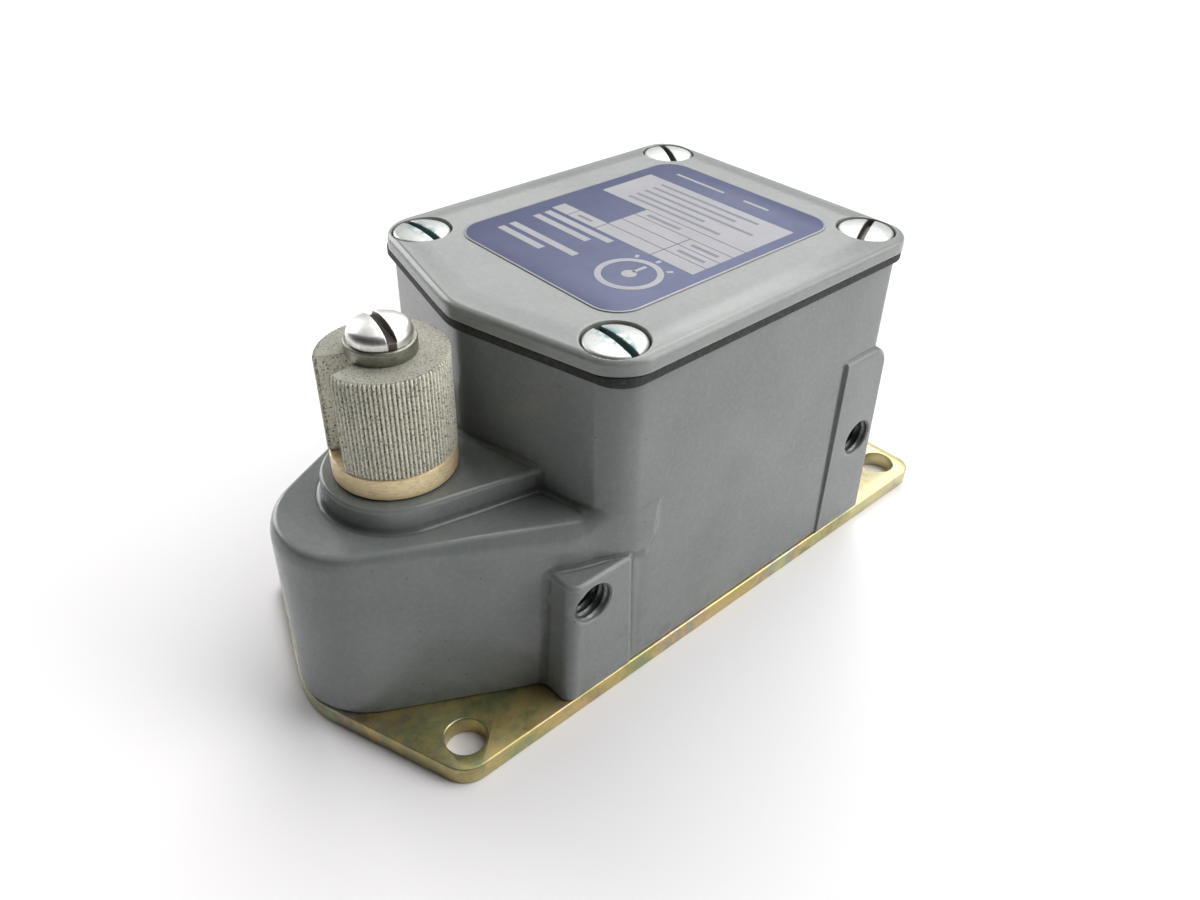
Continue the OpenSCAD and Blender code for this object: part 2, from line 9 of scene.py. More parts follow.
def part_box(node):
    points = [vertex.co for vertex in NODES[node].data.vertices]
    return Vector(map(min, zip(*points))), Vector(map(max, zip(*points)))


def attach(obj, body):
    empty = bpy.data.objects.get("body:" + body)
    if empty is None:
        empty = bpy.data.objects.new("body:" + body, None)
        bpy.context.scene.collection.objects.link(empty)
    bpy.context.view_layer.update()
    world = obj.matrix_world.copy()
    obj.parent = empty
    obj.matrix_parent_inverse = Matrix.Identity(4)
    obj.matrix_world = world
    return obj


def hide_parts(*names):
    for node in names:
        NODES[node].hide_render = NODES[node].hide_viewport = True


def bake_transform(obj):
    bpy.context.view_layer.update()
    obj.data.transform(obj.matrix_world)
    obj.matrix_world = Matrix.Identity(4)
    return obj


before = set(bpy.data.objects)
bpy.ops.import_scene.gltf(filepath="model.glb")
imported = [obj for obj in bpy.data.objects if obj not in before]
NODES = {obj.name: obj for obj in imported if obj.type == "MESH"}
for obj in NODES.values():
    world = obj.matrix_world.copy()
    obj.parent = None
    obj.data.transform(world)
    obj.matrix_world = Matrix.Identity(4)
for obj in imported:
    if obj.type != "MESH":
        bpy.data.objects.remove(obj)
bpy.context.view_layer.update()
MM = 0.001
rng = np.random.default_rng(7)

# ---------------------------------------------------------------- shared sizes, in millimetres
SHAFT_Y = -46.0
NOSE_Y, NOSE_SPREAD = -54.25, 0.494
V_POINT_Y, V_SLOPE = -33.15, 0.239
PLATE_TOP, SIDE_FACE = 3.6, 31.75
CONDUIT_Z = 36
HUB_R, HUB_Z0, HUB_Z1 = 10.2, 46.5, 63.6
BOX_TOP, COVER_Z0, COVER_Z1 = 62.9, 64.5, 67.6
SCREW_SEAT = 65.3
HEAD_TOP, PAD_TOP = 38.0, 42.3
# Cover screws: x, y and how far the slot is turned, in degrees.
SCREWS = [(-25, -21.8, 0), (25, -21.8, -7), (25, 39.7, -67), (-25, 39.7, -30)]
# Tapped side holes, alike on both sides: y, z and depth.
SIDE_HOLES = [(-30.8, 24.5, 11.0), (40.4, 24.5, 9.5)]
# Screw heads: radius, height of the rim, rise of the dome and width of the slot.
COVER_SCREW_HEAD = (5.05, 1.9, 0.55, 1.25)
LEVER_SCREW_HEAD = (5.0, 1.8, 1.3, 1.4)
# Camera place in metres, turn in degrees about X, Y and Z, and lens in millimetres.
CAMERA_AT = (0.114482, -0.107769, 0.138784)
CAMERA_TURN = (53.5904, -1.2331, 47.8915)
CAMERA_LENS = 29.345153


# ---------------------------------------------------------------- distance fields
def rmax(a, b, r):
    """Intersection with a round of radius r on the convex edge."""
    u, v = a + r, b + r
    return np.minimum(np.maximum(u, v), 0) + np.hypot(np.maximum(u, 0), np.maximum(v, 0)) - r


def rmin(a, b, r):
    """Union with a fillet of radius r in the concave corner."""
    return np.maximum(r, np.minimum(a, b)) - np.hypot(np.maximum(r - a, 0), np.maximum(r - b, 0))


def box2d(x, y, grow=0.0):
    """Plan of the box: shallow V in front, square behind, corners rounded."""
    v = (-y + V_POINT_Y + V_SLOPE * np.hypot(x, 1.5)) / 1.0282
    d = rmax(np.abs(x) - 31.0, v, 4.8)
    return rmax(d, y - 45.1, 4.8) - grow


def wedge2d(x, y, cy, r, spread):
    """Round nose of radius r whose sides spread by that angle each side."""
    ca, sa = math.cos(spread), math.sin(spread)
    ax = np.abs(x)
    yy = y - cy
    along = ax * sa + yy * ca
    return np.where(along < 0, np.hypot(ax, yy) - r, ax * ca - yy * sa - r)


def smooth(e0, e1, t):
    """0 below e0, 1 above e1, with a soft step between."""
    t = np.clip((t - e0) / (e1 - e0), 0, 1)
    return t * t * (3 - 2 * t)


def surface_nets(f, lo, hi, h):
    """Mesh of f = 0, one vertex per crossed cell, pulled onto the surface."""
    axes = [np.arange(lo[i], hi[i] + h, h) for i in range(3)]
    n = [len(a) for a in axes]
    F = np.empty(n, np.float32)
    step = max(1, int(1.5e6 // (n[1] * n[2])))
    for i in range(0, n[0], step):
        X, Y, Z = np.meshgrid(axes[0][i:i + step], axes[1], axes[2], indexing="ij")
        F[i:i + step] = f(X, Y, Z)
    inside = F < 0
    c = [m - 1 for m in n]
    count = np.zeros(c, np.int8)
    acc = [np.zeros(c, np.float32) for _ in range(3)]
    for axis in range(3):
        a = [slice(None)] * 3
        b = [slice(None)] * 3
        a[axis], b[axis] = slice(0, -1), slice(1, None)
        fa, fb = F[tuple(a)], F[tuple(b)]
        cross = inside[tuple(a)] != inside[tuple(b)]
        t = np.where(cross, fa / np.where(cross, fa - fb, 1), 0).astype(np.float32)
        o1, o2 = [k for k in range(3) if k != axis]
        for s1 in (0, 1):
            for s2 in (0, 1):
                sl = [slice(None)] * 3
                sl[o1] = slice(s1, n[o1] - 1 + s1)
                sl[o2] = slice(s2, n[o2] - 1 + s2)
                m = cross[tuple(sl)]
                count += m
                acc[axis] += t[tuple(sl)]
                if s1:
                    acc[o1] += m
                if s2:
                    acc[o2] += m
    live = count > 0
    index = np.full(c, -1, np.int64)
    cells = np.argwhere(live)
    index[live] = np.arange(len(cells))
    k = count[live].astype(np.float32)
    verts = np.stack([lo[i] + h * (cells[:, i] + acc[i][live] / k) for i in range(3)], 1)
    quads = []
    for axis in range(3):
        a = [slice(None)] * 3
        b = [slice(None)] * 3
        a[axis], b[axis] = slice(0, -1), slice(1, None)
        o1, o2 = [q for q in range(3) if q != axis]
        for sl in (a, b):
            sl[o1] = slice(1, -1)
            sl[o2] = slice(1, -1)
        ia, ib = inside[tuple(a)], inside[tuple(b)]
        at = np.argwhere(ia != ib)
        flip = ia[tuple(at.T)]
        base = at.copy()
        base[:, o1] += 1
        base[:, o2] += 1
        ids = []
        for d1, d2 in ((-1, -1), (0, -1), (0, 0), (-1, 0)):
            cell = base.copy()
            cell[:, o1] += d1
            cell[:, o2] += d2
            ids.append(index[tuple(cell.T)])
        q = np.stack(ids, 1)
        if axis == 1:
            flip = ~flip
        q[~flip] = q[~flip][:, ::-1]
        quads.append(q)
    quads = np.concatenate(quads)
    e = h * 0.2
    for _ in range(4):
        x, y, z = verts.T
        g = np.stack([f(x + e, y, z) - f(x - e, y, z), f(x, y + e, z) - f(x, y - e, z),
                      f(x, y, z + e) - f(x, y, z - e)], 1) / (2 * e)
        m = np.maximum((g * g).sum(1), 0.2)
        move = -(f(x, y, z) / m)[:, None] * g
        size = np.linalg.norm(move, axis=1)
        move *= np.minimum(1, 0.5 * h / np.maximum(size, 1e-9))[:, None]
        verts = verts + move
    return verts, quads


def mesh_piece(name, verts, faces, body, material, normals=None, replaces=(), slot=None, smooth_faces=True,
               marks=None):
    """An object from arrays in millimetres, riding on a body."""
    me = bpy.data.meshes.new(name)
    verts = np.asarray(verts, np.float64) * MM
    if isinstance(faces, np.ndarray):
        me.vertices.add(len(verts))
        me.vertices.foreach_set("co", verts.ravel())
        me.loops.add(faces.size)
        me.loops.foreach_set("vertex_index", faces.ravel())
        me.polygons.add(len(faces))
        me.polygons.foreach_set("loop_start", np.arange(0, faces.size, faces.shape[1]))
        me.update(calc_edges=True)
    else:
        me.from_pydata([tuple(v) for v in verts], [], faces)
        me.update()
    for key, values in (marks or {}).items():
        att = me.attributes.new(key, "FLOAT", "POINT")
        att.data.foreach_set("value", np.asarray(values, np.float32))
    me.validate()
    me.polygons.foreach_set("use_smooth", np.full(len(me.polygons), smooth_faces))
    if normals is not None and len(normals) == len(me.vertices):
        me.normals_split_custom_set_from_vertices([tuple(v) for v in normals])
    ob = bpy.data.objects.new(name, me)
    bpy.context.scene.collection.objects.link(ob)
    me.materials.append(material)
    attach(ob, body)
    for n in replaces:
        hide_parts(n)
    return ob


def field_normals(f, v, e):
    """Outward directions of the field f at points v, from steps of e."""
    x, y, z = v.T
    g = np.stack([f(x + e, y, z) - f(x - e, y, z), f(x, y + e, z) - f(x, y - e, z),
                  f(x, y, z + e) - f(x, y, z - e)], 1)
    return g / np.maximum(np.linalg.norm(g, axis=1), 1e-9)[:, None]


def bend_of(f, v, e):
    """How sharply the surface turns: positive on outer edges, negative in inner corners."""
    x, y, z = v.T
    lap = (f(x + e, y, z) + f(x - e, y, z) + f(x, y + e, z) + f(x, y - e, z) + f(x, y, z + e) + f(x, y, z - e)
           - 6 * f(x, y, z)) / (e * e)
    return np.clip(lap, -2, 2)


def thinned(verts, quads, ratio, flat):
    """The same surface with fewer triangles, thinned out only where flat is true, as (points, triangles)."""
    me = bpy.data.meshes.new("tmp")
    me.vertices.add(len(verts))
    me.vertices.foreach_set("co", np.asarray(verts, np.float32).ravel())
    me.loops.add(quads.size)
    me.loops.foreach_set("vertex_index", quads.ravel().astype(np.int32))
    me.polygons.add(len(quads))
    me.polygons.foreach_set("loop_start", np.arange(0, quads.size, 4))
    me.update(calc_edges=True)
    ob = bpy.data.objects.new("tmp", me)
    bpy.context.scene.collection.objects.link(ob)
    group = ob.vertex_groups.new(name="flat")
    group.add(np.flatnonzero(flat).tolist(), 1.0, "REPLACE")
    mod = ob.modifiers.new("thin", "DECIMATE")
    mod.ratio = ratio
    mod.vertex_group = "flat"
    mod.use_collapse_triangulate = True
    got = ob.evaluated_get(bpy.context.evaluated_depsgraph_get()).to_mesh()
    v = np.empty(len(got.vertices) * 3, np.float32)
    got.vertices.foreach_get("co", v)
    got.calc_loop_triangles()
    t = np.empty(len(got.loop_triangles) * 3, np.int32)
    got.loop_triangles.foreach_get("vertices", t)
    bpy.data.objects.remove(ob)
    bpy.data.meshes.remove(me)
    return v.reshape(-1, 3).astype(float), t.reshape(-1, 3)


def field_piece(name, f, lo, hi, h, body, material, ratio=None, at=None, bend=0.7, hidden=None, keep=None,
                marks=None, **kw):
    """The surface f = 0 as one piece, copied to each (x, y, z, turn) of at."""
    verts, faces = surface_nets(f, lo, hi, h)
    if ratio:
        flat = (np.abs(bend_of(f, verts, 3.2 * h)) < 0.1) & (np.abs(bend_of(f, verts, 1.6 * h)) < 0.1)
        if hidden:
            flat |= hidden(*verts.T)
        if keep:
            flat &= ~keep(*verts.T)
        verts, faces = thinned(verts, faces, ratio, flat)
    normals = field_normals(f, verts, h * 0.2)
    values = {"edge_wear_and_shade": bend_of(f, verts, bend)}
    for key, rule in (marks or {}).items():
        values[key] = rule(*verts.T)
    if at is not None:
        out = []
        for x, y, z, turn in at:
            m = np.array(Matrix.Rotation(math.radians(turn), 3, "Z"))
            out.append((verts @ m.T + (x, y, z), normals @ m.T))
        faces = np.concatenate([faces + i * len(verts) for i in range(len(at))])
        verts = np.concatenate([o[0] for o in out])
        normals = np.concatenate([o[1] for o in out])
        values = {key: np.tile(v, len(at)) for key, v in values.items()}
    return mesh_piece(name, verts, faces, body, material, normals=normals, marks=values, **kw)


def lathe(profile, n=96):
    """Points and quads of a closed profile [(r, z), ...] turned about Z."""
    prof = np.array(profile, float)
    a = np.arange(n) * 2 * math.pi / n
    v = np.stack([np.outer(np.cos(a), prof[:, 0]), np.outer(np.sin(a), prof[:, 0]),
                  np.tile(prof[:, 1], (n, 1))], 2).reshape(-1, 3)
    m = len(prof)
    i, j = np.meshgrid(np.arange(n), np.arange(m), indexing="ij")
    i2, j2 = (i + 1) % n, (j + 1) % m
    q = np.stack([i * m + j, i2 * m + j, i2 * m + j2, i * m + j2], 2).reshape(-1, 4)
    return v, q


def ring_profile(r0, r1, z0, z1, c, steps=4):
    """Cross-section of a ring with its four edges rounded by c."""
    out = []
    corners = ((r1 - c, z0 + c, -90), (r1 - c, z1 - c, 0), (r0 + c, z1 - c, 90), (r0 + c, z0 + c, 180))
    for cx, cz, start in corners:
        for k in range(steps + 1):
            a = math.radians(start + 90 * k / steps)
            out.append((cx + c * math.cos(a), cz + c * math.sin(a)))
    return out


def arc(cx, cy, r, a0, a1, n):
    """Points along an arc, from a0 to a1 degrees."""
    return [(cx + r * math.cos(math.radians(a0 + (a1 - a0) * k / n)),
             cy + r * math.sin(math.radians(a0 + (a1 - a0) * k / n))) for k in range(n + 1)]


def rounded_loop(points, radii, n=10):
    """A convex outline with a round of its own radius at every corner."""
    out = []
    m = len(points)
    for i, (p, r) in enumerate(zip(points, radii)):
        p = Vector(p)
        a = (Vector(points[i - 1]) - p).normalized()
        b = (Vector(points[(i + 1) % m]) - p).normalized()
        half = a.angle(b) / 2
        c = p + (a + b).normalized() * (r / math.sin(half))
        s = p + a * (r / math.tan(half)) - c
        e = p + b * (r / math.tan(half)) - c
        a0, a1 = math.atan2(s.y, s.x), math.atan2(e.y, e.x)
        d = (a1 - a0 + math.pi) % (2 * math.pi) - math.pi
        turns = [a0 + d * k / n for k in range(n + 1)]
        out += [(c.x + r * math.cos(a), c.y + r * math.sin(a)) for a in turns]
    return out


def slab(name, loops, z0, z1, edge, body, material, steps=3, **kw):
    """A flat piece cut to its loops (the first outside, the others holes) with rounded edges."""
    cu = bpy.data.curves.new("tmp", "CURVE")
    cu.dimensions = "2D"
    cu.fill_mode = "BOTH"
    cu.extrude = (z1 - z0) / 2 - edge
    cu.bevel_depth = edge
    cu.bevel_resolution = steps
    cu.offset = -edge
    for loop in loops:
        sp = cu.splines.new("POLY")
        sp.points.add(len(loop) - 1)
        for q, (x, y) in zip(sp.points, loop):
            q.co = (x, y, 0, 1)
        sp.use_cyclic_u = True
    ob = bpy.data.objects.new("tmp", cu)
    bpy.context.scene.collection.objects.link(ob)
    got = ob.evaluated_get(bpy.context.evaluated_depsgraph_get()).to_mesh()
    v = np.empty(len(got.vertices) * 3)
    got.vertices.foreach_get("co", v)
    v = v.reshape(-1, 3) + (0, 0, (z0 + z1) / 2)
    faces = [tuple(p.vertices) for p in got.polygons]
    bpy.data.objects.remove(ob)
    bpy.data.curves.remove(cu)
    return creased(mesh_piece(name, v, faces, body, material, **kw), 38)


def creased(ob, degrees):
    """Welds the piece's points and keeps edges sharper than the angle crisp."""
    me = ob.data
    bm = bmesh.new()
    bm.from_mesh(me)
    bmesh.ops.remove_doubles(bm, verts=bm.verts, dist=2e-6)
    bmesh.ops.recalc_face_normals(bm, faces=bm.faces)
    bm.to_mesh(me)
    bm.free()
    me.polygons.foreach_set("use_smooth", np.full(len(me.polygons), True))
    me.set_sharp_from_angle(angle=math.radians(degrees))
    return ob


# ---------------------------------------------------------------- materials
class Tree:
    """A short way to write a material's nodes."""

    def __init__(self, name):
        self.mat = bpy.data.materials.new(name)
        self.mat.use_nodes = True
        self.t = self.mat.node_tree
        self.t.nodes.clear()
        self.out = self.add("ShaderNodeOutputMaterial")
        self.bsdf = self.add("ShaderNodeBsdfPrincipled")
        self.t.links.new(self.bsdf.outputs[0], self.out.inputs[0])
        self.pos = self.add("ShaderNodeTexCoord").outputs["Object"]

    def add(self, kind, **props):
        n = self.t.nodes.new(kind)
        for k, v in props.items():
            setattr(n, k, v)
        return n

    def put(self, socket, value):
        if isinstance(value, bpy.types.NodeSocket):
            self.t.links.new(value, socket)
        else:
            socket.default_value = value

    def set(self, **inputs):
        for k, v in inputs.items():
            self.put(self.bsdf.inputs[k.replace("_", " ")], v)
        return self.mat

    def math(self, op, a, b=0.0, c=0.0):
        n = self.add("ShaderNodeMath", operation=op)
        for s, v in zip(n.inputs, (a, b, c)):
            self.put(s, v)
        return n.outputs[0]

    def noise(self, scale, detail=3.0, rough=0.5, stretch=(1, 1, 1), distortion=0.0, shift=(0, 0, 0)):
        """Noise whose scale is in features a millimetre."""
        m = self.add("ShaderNodeMapping")
        self.put(m.inputs["Vector"], self.pos)
        m.inputs["Scale"].default_value = [1000 * k for k in stretch]
        m.inputs["Location"].default_value = shift
        n = self.add("ShaderNodeTexNoise")
        self.put(n.inputs["Vector"], m.outputs[0])
        n.inputs["Scale"].default_value = scale
        n.inputs["Detail"].default_value = detail
        n.inputs["Roughness"].default_value = rough
        n.inputs["Distortion"].default_value = distortion
        return n.outputs["Fac"]

    def cells(self, scale, stretch=(1, 1, 1)):
        """Distance to the nearest of scattered points, with scale in points a millimetre."""
        m = self.add("ShaderNodeMapping")
        self.put(m.inputs["Vector"], self.pos)
        m.inputs["Scale"].default_value = [1000 * k for k in stretch]
        n = self.add("ShaderNodeTexVoronoi")
        self.put(n.inputs["Vector"], m.outputs[0])
        n.inputs["Scale"].default_value = scale
        return n.outputs["Distance"]

    def ramp(self, fac, stops):
        n = self.add("ShaderNodeValToRGB")
        els = n.color_ramp.elements
        while len(els) < len(stops):
            els.new(0.5)
        for e, (p, c) in zip(els, stops):
            e.position = p
            e.color = (*c, 1) if len(c) == 3 else c
        self.put(n.inputs[0], fac)
        return n.outputs[0]

    def band(self, fac, lo, hi):
        """0 below lo, 1 above hi; the other way round when hi is below lo."""
        n = self.add("ShaderNodeMapRange", interpolation_type="SMOOTHSTEP")
        self.put(n.inputs["Value"], fac)
        a, b, flip = (lo, hi, False) if lo < hi else (hi, lo, True)
        n.inputs["From Min"].default_value = a
        n.inputs["From Max"].default_value = b
        n.inputs["To Min"].default_value = 1.0 if flip else 0.0
        n.inputs["To Max"].default_value = 0.0 if flip else 1.0
        return n.outputs[0]

    def mix(self, fac, a, b, blend="MIX"):
        n = self.add("ShaderNodeMix", data_type="RGBA", blend_type=blend)
        self.put(n.inputs["Factor"], fac)
        for s, v in ((n.inputs[6], a), (n.inputs[7], b)):
            self.put(s, (*v, 1) if isinstance(v, tuple) and len(v) == 3 else v)
        return n.outputs[2]

    def attr(self, name):
        return self.add("ShaderNodeAttribute", attribute_name=name).outputs["Fac"]

    def xyz(self):
        n = self.add("ShaderNodeSeparateXYZ")
        self.put(n.inputs[0], self.pos)
        return n.outputs

    def bump(self, height, strength, distance):
        n = self.add("ShaderNodeBump")
        self.put(n.inputs["Height"], height)
        n.inputs["Strength"].default_value = strength
        n.inputs["Distance"].default_value = distance * MM
        return n.outputs[0]


def srgb(r, g, b):
    """Linear colour from 0-255 display values."""
    out = []
    for c in (r, g, b):
        c /= 255
        out.append(c / 12.92 if c <= 0.04045 else ((c + 0.055) / 1.055) ** 2.4)
    return tuple(out)


# ---------------------------------------------------------------- finishes
def paint(name, base, dark, light, speck=0.5, rough=0.16):
    """Satin enamel on a die casting: softly mottled, painted shade in inner corners, outer edges lightened by
    wear and painted highlight, dark nibs and rub marks.
    """
    t = Tree(name)
    edge = t.attr("edge_wear_and_shade")
    x, y, z = t.xyz()
    mottle = t.noise(0.06, 4, 0.6)
    col = t.mix(t.band(mottle, 0.3, 0.7), dark, base)
    col = t.mix(t.math("MULTIPLY", t.band(t.noise(1.1, 3, 0.6), 0.42, 0.7), 0.10), col, light)
    # Outer edges lightened: partly wear, partly painted highlight where the edges catch the light.
    col = t.mix(t.math("MULTIPLY", t.band(edge, 0.5, 1.3), 0.16), col, light)
    # Inner corners darkened: painted shade, laid on in patches.
    patchy = t.math("MULTIPLY_ADD", t.noise(0.4, 4, 0.7), 0.7, 0.1)
    grime_and_shade = t.math("MULTIPLY", t.band(edge, -0.12, -0.7), patchy)
    col = t.mix(grime_and_shade, col, srgb(66, 68, 62))
    foot = t.math("MULTIPLY", t.band(z, 9 * MM, 3.8 * MM), t.band(t.noise(0.3, 4, 0.7), 0.4, 0.7))
    col = t.mix(t.math("MULTIPLY", foot, 0.45), col, srgb(84, 84, 74))
    nibs = t.math("MULTIPLY", t.band(t.cells(0.42), 0.085, 0.05), t.band(t.noise(0.11, 1), 0.48, 0.6))
    fine_patches = t.band(t.noise(0.2, 1, shift=(3, 1, 0)), 0.53, 0.66)
    fine = t.math("MULTIPLY", t.band(t.cells(1.3), 0.08, 0.04), fine_patches)
    col = t.mix(t.math("MULTIPLY", t.math("MAXIMUM", nibs, fine), speck), col, srgb(48, 50, 46))
    scuff = t.math("MULTIPLY", t.band(t.noise(0.5, 5, 0.75, stretch=(1, 0.18, 1)), 0.66, 0.8),
                   t.band(t.noise(0.05, 2), 0.52, 0.66))
    col = t.mix(t.math("MULTIPLY", scuff, 0.3), col, srgb(190, 193, 188))
    peel = t.math("ADD", t.noise(0.55, 2, 0.5), t.math("MULTIPLY", t.noise(2.6, 2, 0.5), 0.25))
    return t.set(Base_Color=col, Roughness=t.math("MULTIPLY_ADD", t.noise(0.5, 4), 0.14, rough),
                 Specular_IOR_Level=0.5, Normal=t.bump(peel, 0.10, 0.3))


def chromate(name):
    """Yellow chromate on steel: gold, green and violet by turns, worn to grey towards the front."""
    t = Tree(name)
    x, y, z = t.xyz()
    ripple = t.math("MULTIPLY", t.noise(0.5, 4, 0.7), 0.22)
    drift = t.math("ADD", t.noise(0.035, 3, 0.6, distortion=0.8), ripple)
    col = t.ramp(t.band(drift, 0.42, 0.78), [
        (0.0, srgb(150, 160, 118)), (0.22, srgb(196, 180, 118)), (0.42, srgb(205, 182, 128)),
        (0.6, srgb(176, 158, 140)), (0.78, srgb(166, 186, 150)), (1.0, srgb(204, 190, 130))])
    rear = t.band(y, 0.02, 0.06)
    col = t.mix(t.math("MULTIPLY", rear, 0.6), col, srgb(208, 202, 160))
    ragged_y = t.math("ADD", y, t.math("MULTIPLY", t.noise(0.3, 4), 0.02))
    worn = t.math("MULTIPLY", t.band(ragged_y, -0.034, -0.052), t.band(t.noise(0.35, 5, 0.7), 0.42, 0.6))
    col = t.mix(t.math("MULTIPLY", worn, 0.55), col, srgb(150, 148, 132))
    grime_and_shade = t.band(t.noise(0.16, 4, 0.65, shift=(2, 5, 1)), 0.5, 0.72)
    col = t.mix(t.math("MULTIPLY", grime_and_shade, 0.45), col, srgb(92, 86, 58))
    col = t.mix(t.band(t.cells(0.9), 0.09, 0.05), col, srgb(70, 60, 40))
    return t.set(Base_Color=col, Metallic=0.85, Roughness=t.math("MULTIPLY_ADD", t.noise(0.8, 3), 0.25, 0.24),
                 Normal=t.bump(t.noise(1.1, 4, 0.6, stretch=(1, 0.2, 1)), 0.12, 0.2))


def metal(name, base, dark, rough=0.25, stretch=(1, 1, 1), dirt=0.3, grain=0.1, metallic=1.0):
    """Plain or plated metal with brushed grain, a little dirt, painted shade in inner corners and a darker
    slot floor.
    """
    t = Tree(name)
    dirty = t.band(t.noise(0.9, 5, 0.7, stretch=stretch), 0.4, 0.72)
    col = t.mix(t.math("MULTIPLY", dirty, dirt), base, dark)
    # Inner corners darkened: painted shade.
    col = t.mix(t.math("MULTIPLY", t.band(t.attr("edge_wear_and_shade"), -0.15, -0.9), 0.7), col, dark)
    # Darker on the floor of a screw slot.
    col = t.mix(t.math("MULTIPLY", t.attr("slot_floor"), 0.93), col, srgb(54, 42, 34))
    return t.set(Base_Color=col, Metallic=metallic,
                 Roughness=t.math("MULTIPLY_ADD", t.noise(1.8, 3, stretch=stretch), 0.2, rough),
                 Normal=t.bump(t.noise(3.2, 4, 0.6, stretch=stretch), grain, 0.15))


def cover_screw_finish(name):
    """Bright zinc with dirt, painted shade in inner corners and a blue-green bloom that has crept out of the
    slots.
    """
    t = Tree(name)
    col = t.mix(t.math("MULTIPLY", t.band(t.noise(0.8, 5, 0.7), 0.45, 0.75), 0.35), srgb(190, 192, 189),
                srgb(138, 142, 138))
    edge = t.attr("edge_wear_and_shade")
    # Inner corners darkened: painted shade.
    col = t.mix(t.math("MULTIPLY", t.band(edge, -0.1, -0.6), 0.85), col, srgb(84, 82, 70))
    x, y, z = t.xyz()
    front = t.band(y, 0.0, -0.01)
    bloom = t.math("MULTIPLY", t.attr("bloom"), front)
    bloom = t.math("MULTIPLY", bloom, t.band(t.noise(0.55, 4, 0.7), 0.44, 0.54))
    col = t.mix(t.math("MULTIPLY", bloom, 0.85), col, srgb(96, 138, 140))
    col = t.mix(t.math("MULTIPLY", t.band(t.cells(1.5), 0.12, 0.06), 0.5), col, srgb(92, 96, 92))
    fill = t.mix(front, srgb(74, 70, 58), srgb(84, 112, 112))
    packed = t.math("MULTIPLY_ADD", t.noise(0.9, 3), 0.5, 0.55)
    col = t.mix(t.math("MULTIPLY", t.attr("slot_floor"), packed), col, fill)
    return t.set(Base_Color=col, Metallic=t.math("SUBTRACT", 0.9, t.math("MULTIPLY", bloom, 0.7)),
                 Roughness=t.math("MULTIPLY_ADD", t.noise(2.0, 4), 0.22, 0.34),
                 Normal=t.bump(t.noise(1.5, 4, 0.6), 0.14, 0.2))


def hub_finish(name):
    """Grainy sintered-looking steel, ridge tops rubbed bright, grooves darker, and the top face darkened as
    painted shade.
    """
    t = Tree(name)
    x, y, z = t.xyz()
    r = t.math("SQRT", t.math("ADD", t.math("MULTIPLY", x, x),
                              t.math("POWER", t.math("ADD", y, -SHAFT_Y * MM), 2.0)))
    depth = t.band(r, (HUB_R - 0.42) * MM, (HUB_R - 0.04) * MM)
    fine = t.noise(2.4, 4, 0.65)
    coarse = t.noise(0.55, 3, 0.6)
    col = t.mix(t.band(fine, 0.35, 0.62), srgb(206, 203, 184), srgb(240, 238, 222))
    col = t.mix(t.math("MULTIPLY", t.band(coarse, 0.45, 0.7), 0.35), col, srgb(212, 209, 190))
    pits = t.band(t.cells(2.3, stretch=(1, 1, 0.7)), 0.34, 0.16)
    pits = t.math("MULTIPLY", pits, t.band(coarse, 0.32, 0.54))
    specks = t.band(t.noise(3.4, 3, 0.7, stretch=(1, 1, 0.7)), 0.60, 0.68)
    pits = t.math("MAXIMUM", pits, t.math("MULTIPLY", specks, 0.8))
    col = t.mix(t.math("MULTIPLY", pits, 0.95), col, srgb(38, 37, 32))
    # Darker in the grooves between the ridges.
    wall = t.math("MULTIPLY", t.band(r, (HUB_R - 0.8) * MM, (HUB_R - 0.5) * MM),
                  t.math("MULTIPLY", t.band(z, (HUB_Z0 - 0.1) * MM, HUB_Z0 * MM),
                         t.band(z, (HUB_Z1 - 0.02) * MM, (HUB_Z1 - 0.35) * MM)))
    groove = t.math("MULTIPLY", wall, t.math("SUBTRACT", 1.0, depth))
    col = t.mix(t.math("MULTIPLY", groove, t.math("MULTIPLY_ADD", t.band(fine, 0.5, 0.4), 0.5, 0.3)), col,
                srgb(58, 56, 48))
    rubbed = t.math("MULTIPLY", depth, t.band(t.noise(0.9, 3, stretch=(1, 1, 0.25)), 0.4, 0.6))
    crest = t.math("MULTIPLY", wall, rubbed)
    col = t.mix(t.math("MULTIPLY", crest, 0.35), col, srgb(206, 205, 192))
    # Top face darkened as painted shade.
    top = t.band(z, (HUB_Z1 - 0.12) * MM, (HUB_Z1 - 0.02) * MM)
    col = t.mix(t.math("MULTIPLY", top, 0.66), col, srgb(92, 91, 80))
    h = t.math("ADD", fine, t.math("MULTIPLY", coarse, 0.5))
    h = t.math("SUBTRACT", h, t.math("MULTIPLY", pits, 0.6))
    return t.set(Base_Color=col, Metallic=0.12, Roughness=t.math("MULTIPLY_ADD", fine, 0.2, 0.48),
                 Normal=t.bump(h, 0.45, 0.22))


def rubber(name):
    """Dark sheet rubber with pale dust."""
    t = Tree(name)
    col = t.mix(t.band(t.noise(1.2, 5, 0.7), 0.35, 0.7), srgb(24, 25, 24), srgb(46, 48, 46))
    col = t.mix(t.math("MULTIPLY", t.band(t.noise(0.5, 4, 0.7, stretch=(1, 1, 3)), 0.55, 0.75), 0.3), col,
                srgb(92, 94, 90))
    return t.set(Base_Color=col, Roughness=t.math("MULTIPLY_ADD", t.noise(1.4, 3), 0.2, 0.6),
                 Normal=t.bump(t.noise(1.6, 5, 0.7), 0.4, 0.3))


